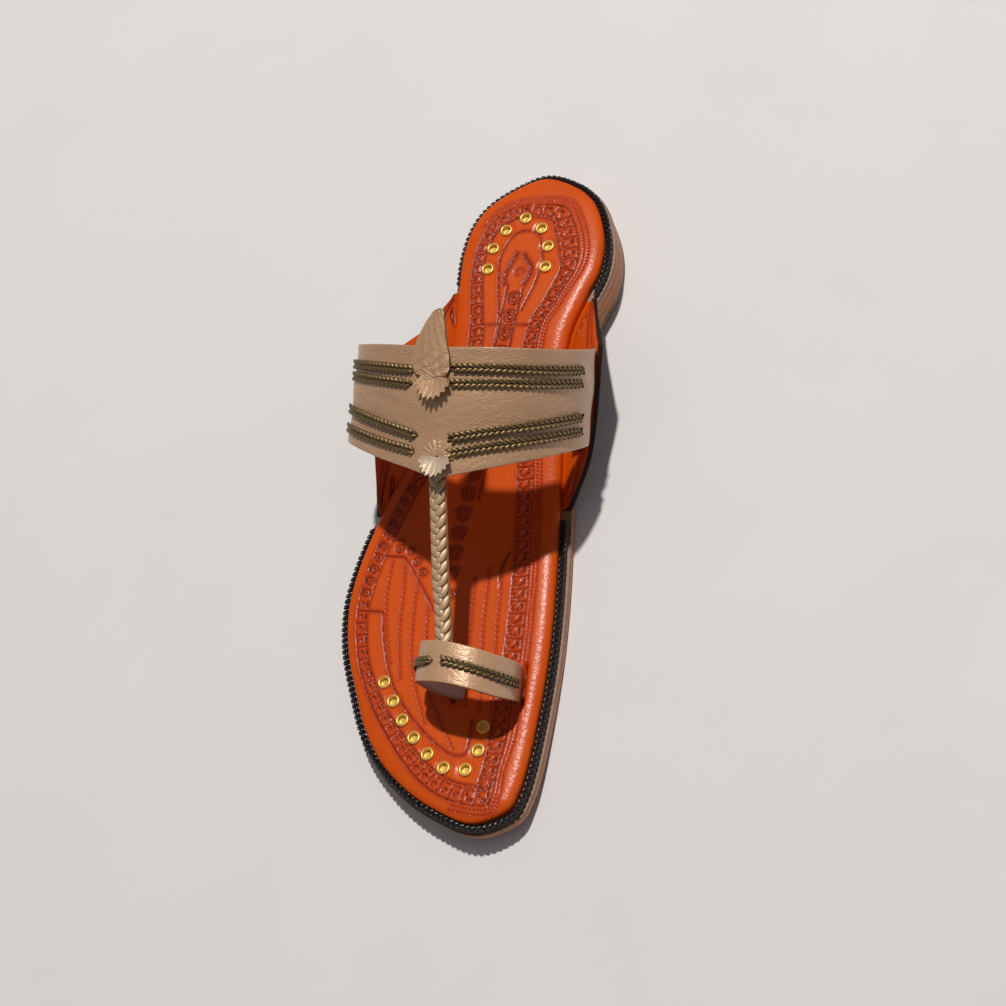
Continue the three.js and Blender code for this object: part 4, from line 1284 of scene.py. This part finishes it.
def make_trim():
    make_leaf()
    make_fan()
    make_flap("flap_upper", FOLDS["upper"], 9, 8.8, 3.0, TAUPE)
    make_flap("flap_lower", FOLDS["lower"], 9, 7.4, 3.0, SILVERED)


# ---------------------------------------------------------------- eyelets
EYELET_PROFILE = [  # radius and height, from the lip's outer foot over the top and down the barrel
    (2.60, -0.25), (2.62, 0.12), (2.45, 0.42), (2.15, 0.55), (1.85, 0.50), (1.62, 0.25), (1.50, -0.20),
    (1.46, -1.05), (0.0, -1.15), (0.0, -1.60), (1.70, -1.60), (1.70, -0.25), (2.60, -0.25),
]


def eyelet_shape():
    """The eyelet as a spun ring, standing on the origin."""
    mesh = bpy.data.meshes.new("eyelet")
    mesh.from_pydata([(r * MM, 0, z * MM) for r, z in EYELET_PROFILE],
                     [(i, i + 1) for i in range(len(EYELET_PROFILE) - 1)], [])
    piece = bpy.data.objects.new("eyelet", mesh)
    bpy.context.scene.collection.objects.link(piece)
    make_active(piece)
    bpy.ops.object.mode_set(mode="EDIT")
    bpy.ops.mesh.select_all(action="SELECT")
    bpy.ops.mesh.spin(steps=32, angle=2 * math.pi, center=(0, 0, 0), axis=(0, 0, 1))
    bpy.ops.mesh.select_all(action="SELECT")
    bpy.ops.mesh.remove_doubles(threshold=1e-6)
    bpy.ops.mesh.normals_make_consistent(inside=False)
    bpy.ops.object.mode_set(mode="OBJECT")
    face_outwards(piece)
    return piece


def make_eyelets():
    master = eyelet_shape()
    for name, (x, y) in EYELET_PLACES.items():
        piece = master.copy()
        piece.data = master.data.copy()
        piece.name = piece.data.name = name + "_brass"
        bpy.context.scene.collection.objects.link(piece)
        slope = math.atan2(float(foot_height(y + 1) - foot_height(y - 1)), 2)
        at = Vector(to_metres((x, y, float(foot_height(y)))))
        piece.data.transform(Matrix.Translation(at) @ Matrix.Rotation(slope, 4, "X"))
        soften(piece)
        dress(piece, [BRASS], [name])
    bpy.data.objects.remove(master)


# ---------------------------------------------------------------- camera, light and floor
CAMERA_PLACE = (246.99, -270.29, 590.28)
CAMERA_RIGHT = (0.93676773, 0.11546756, -0.33035353)
CAMERA_UP = (0.02954814, 0.9145285, 0.40344087)
CAMERA_LENS = 63.81


def make_camera():
    camera = bpy.data.objects.new("camera", bpy.data.cameras.new("camera"))
    bpy.context.scene.collection.objects.link(camera)
    right, up = Vector(CAMERA_RIGHT).normalized(), Vector(CAMERA_UP).normalized()
    turned = Matrix((right, up, right.cross(up))).transposed().to_4x4()
    camera.matrix_world = Matrix.Translation(Vector(CAMERA_PLACE) * MM) @ turned
    camera.data.lens = CAMERA_LENS
    camera.data.sensor_width = 36.0
    camera.data.clip_start, camera.data.clip_end = 0.01, 50.0
    bpy.context.scene.camera = camera


def add_light(name, place, size, power, colour):
    light = bpy.data.lights.new(name, "AREA")
    light.shape = "DISK"
    light.size = size
    light.energy = power
    light.color = colour
    lamp = bpy.data.objects.new(name, light)
    bpy.context.scene.collection.objects.link(lamp)
    lamp.location = place
    lamp.rotation_euler = (-Vector(place)).to_track_quat("-Z", "Y").to_euler()


def make_stage():
    floor = add_primitive(bpy.ops.mesh.primitive_plane_add, "floor", size=12.0, location=(0, 0, -0.0002))
    floor.data.materials.append(floor_paper())
    add_light("key", (0.24, 1.26, 3.0), 0.15, 90.0, (1.0, 0.96, 0.90))
    add_light("fill", (-1.3, -0.9, 1.5), 1.6, 0.6, (0.93, 0.96, 1.0))
    add_light("side", (1.5, 0.2, 0.8), 0.8, 0.5, (1.0, 0.98, 0.95))
    world = bpy.data.worlds.new("studio")
    bpy.context.scene.world = world
    world.use_nodes = True
    sky = world.node_tree.nodes["Background"]
    sky.inputs["Color"].default_value = linear("#F2F4FA")
    sky.inputs["Strength"].default_value = 0.17
    bpy.context.scene.view_settings.view_transform = "Standard"


make_camera()
make_stage()
make_sole()
make_footbed()
for ear_side in ("medial", "lateral"):
    make_ear(ear_side)
fine_bight = strand_bight(10, 6)
full_bight = strand_bight(20, 12)
make_welt(fine_bight)
make_band()
make_ring()
make_centre_strap(full_bight)
make_cords(fine_bight)
make_trim()
make_eyelets()
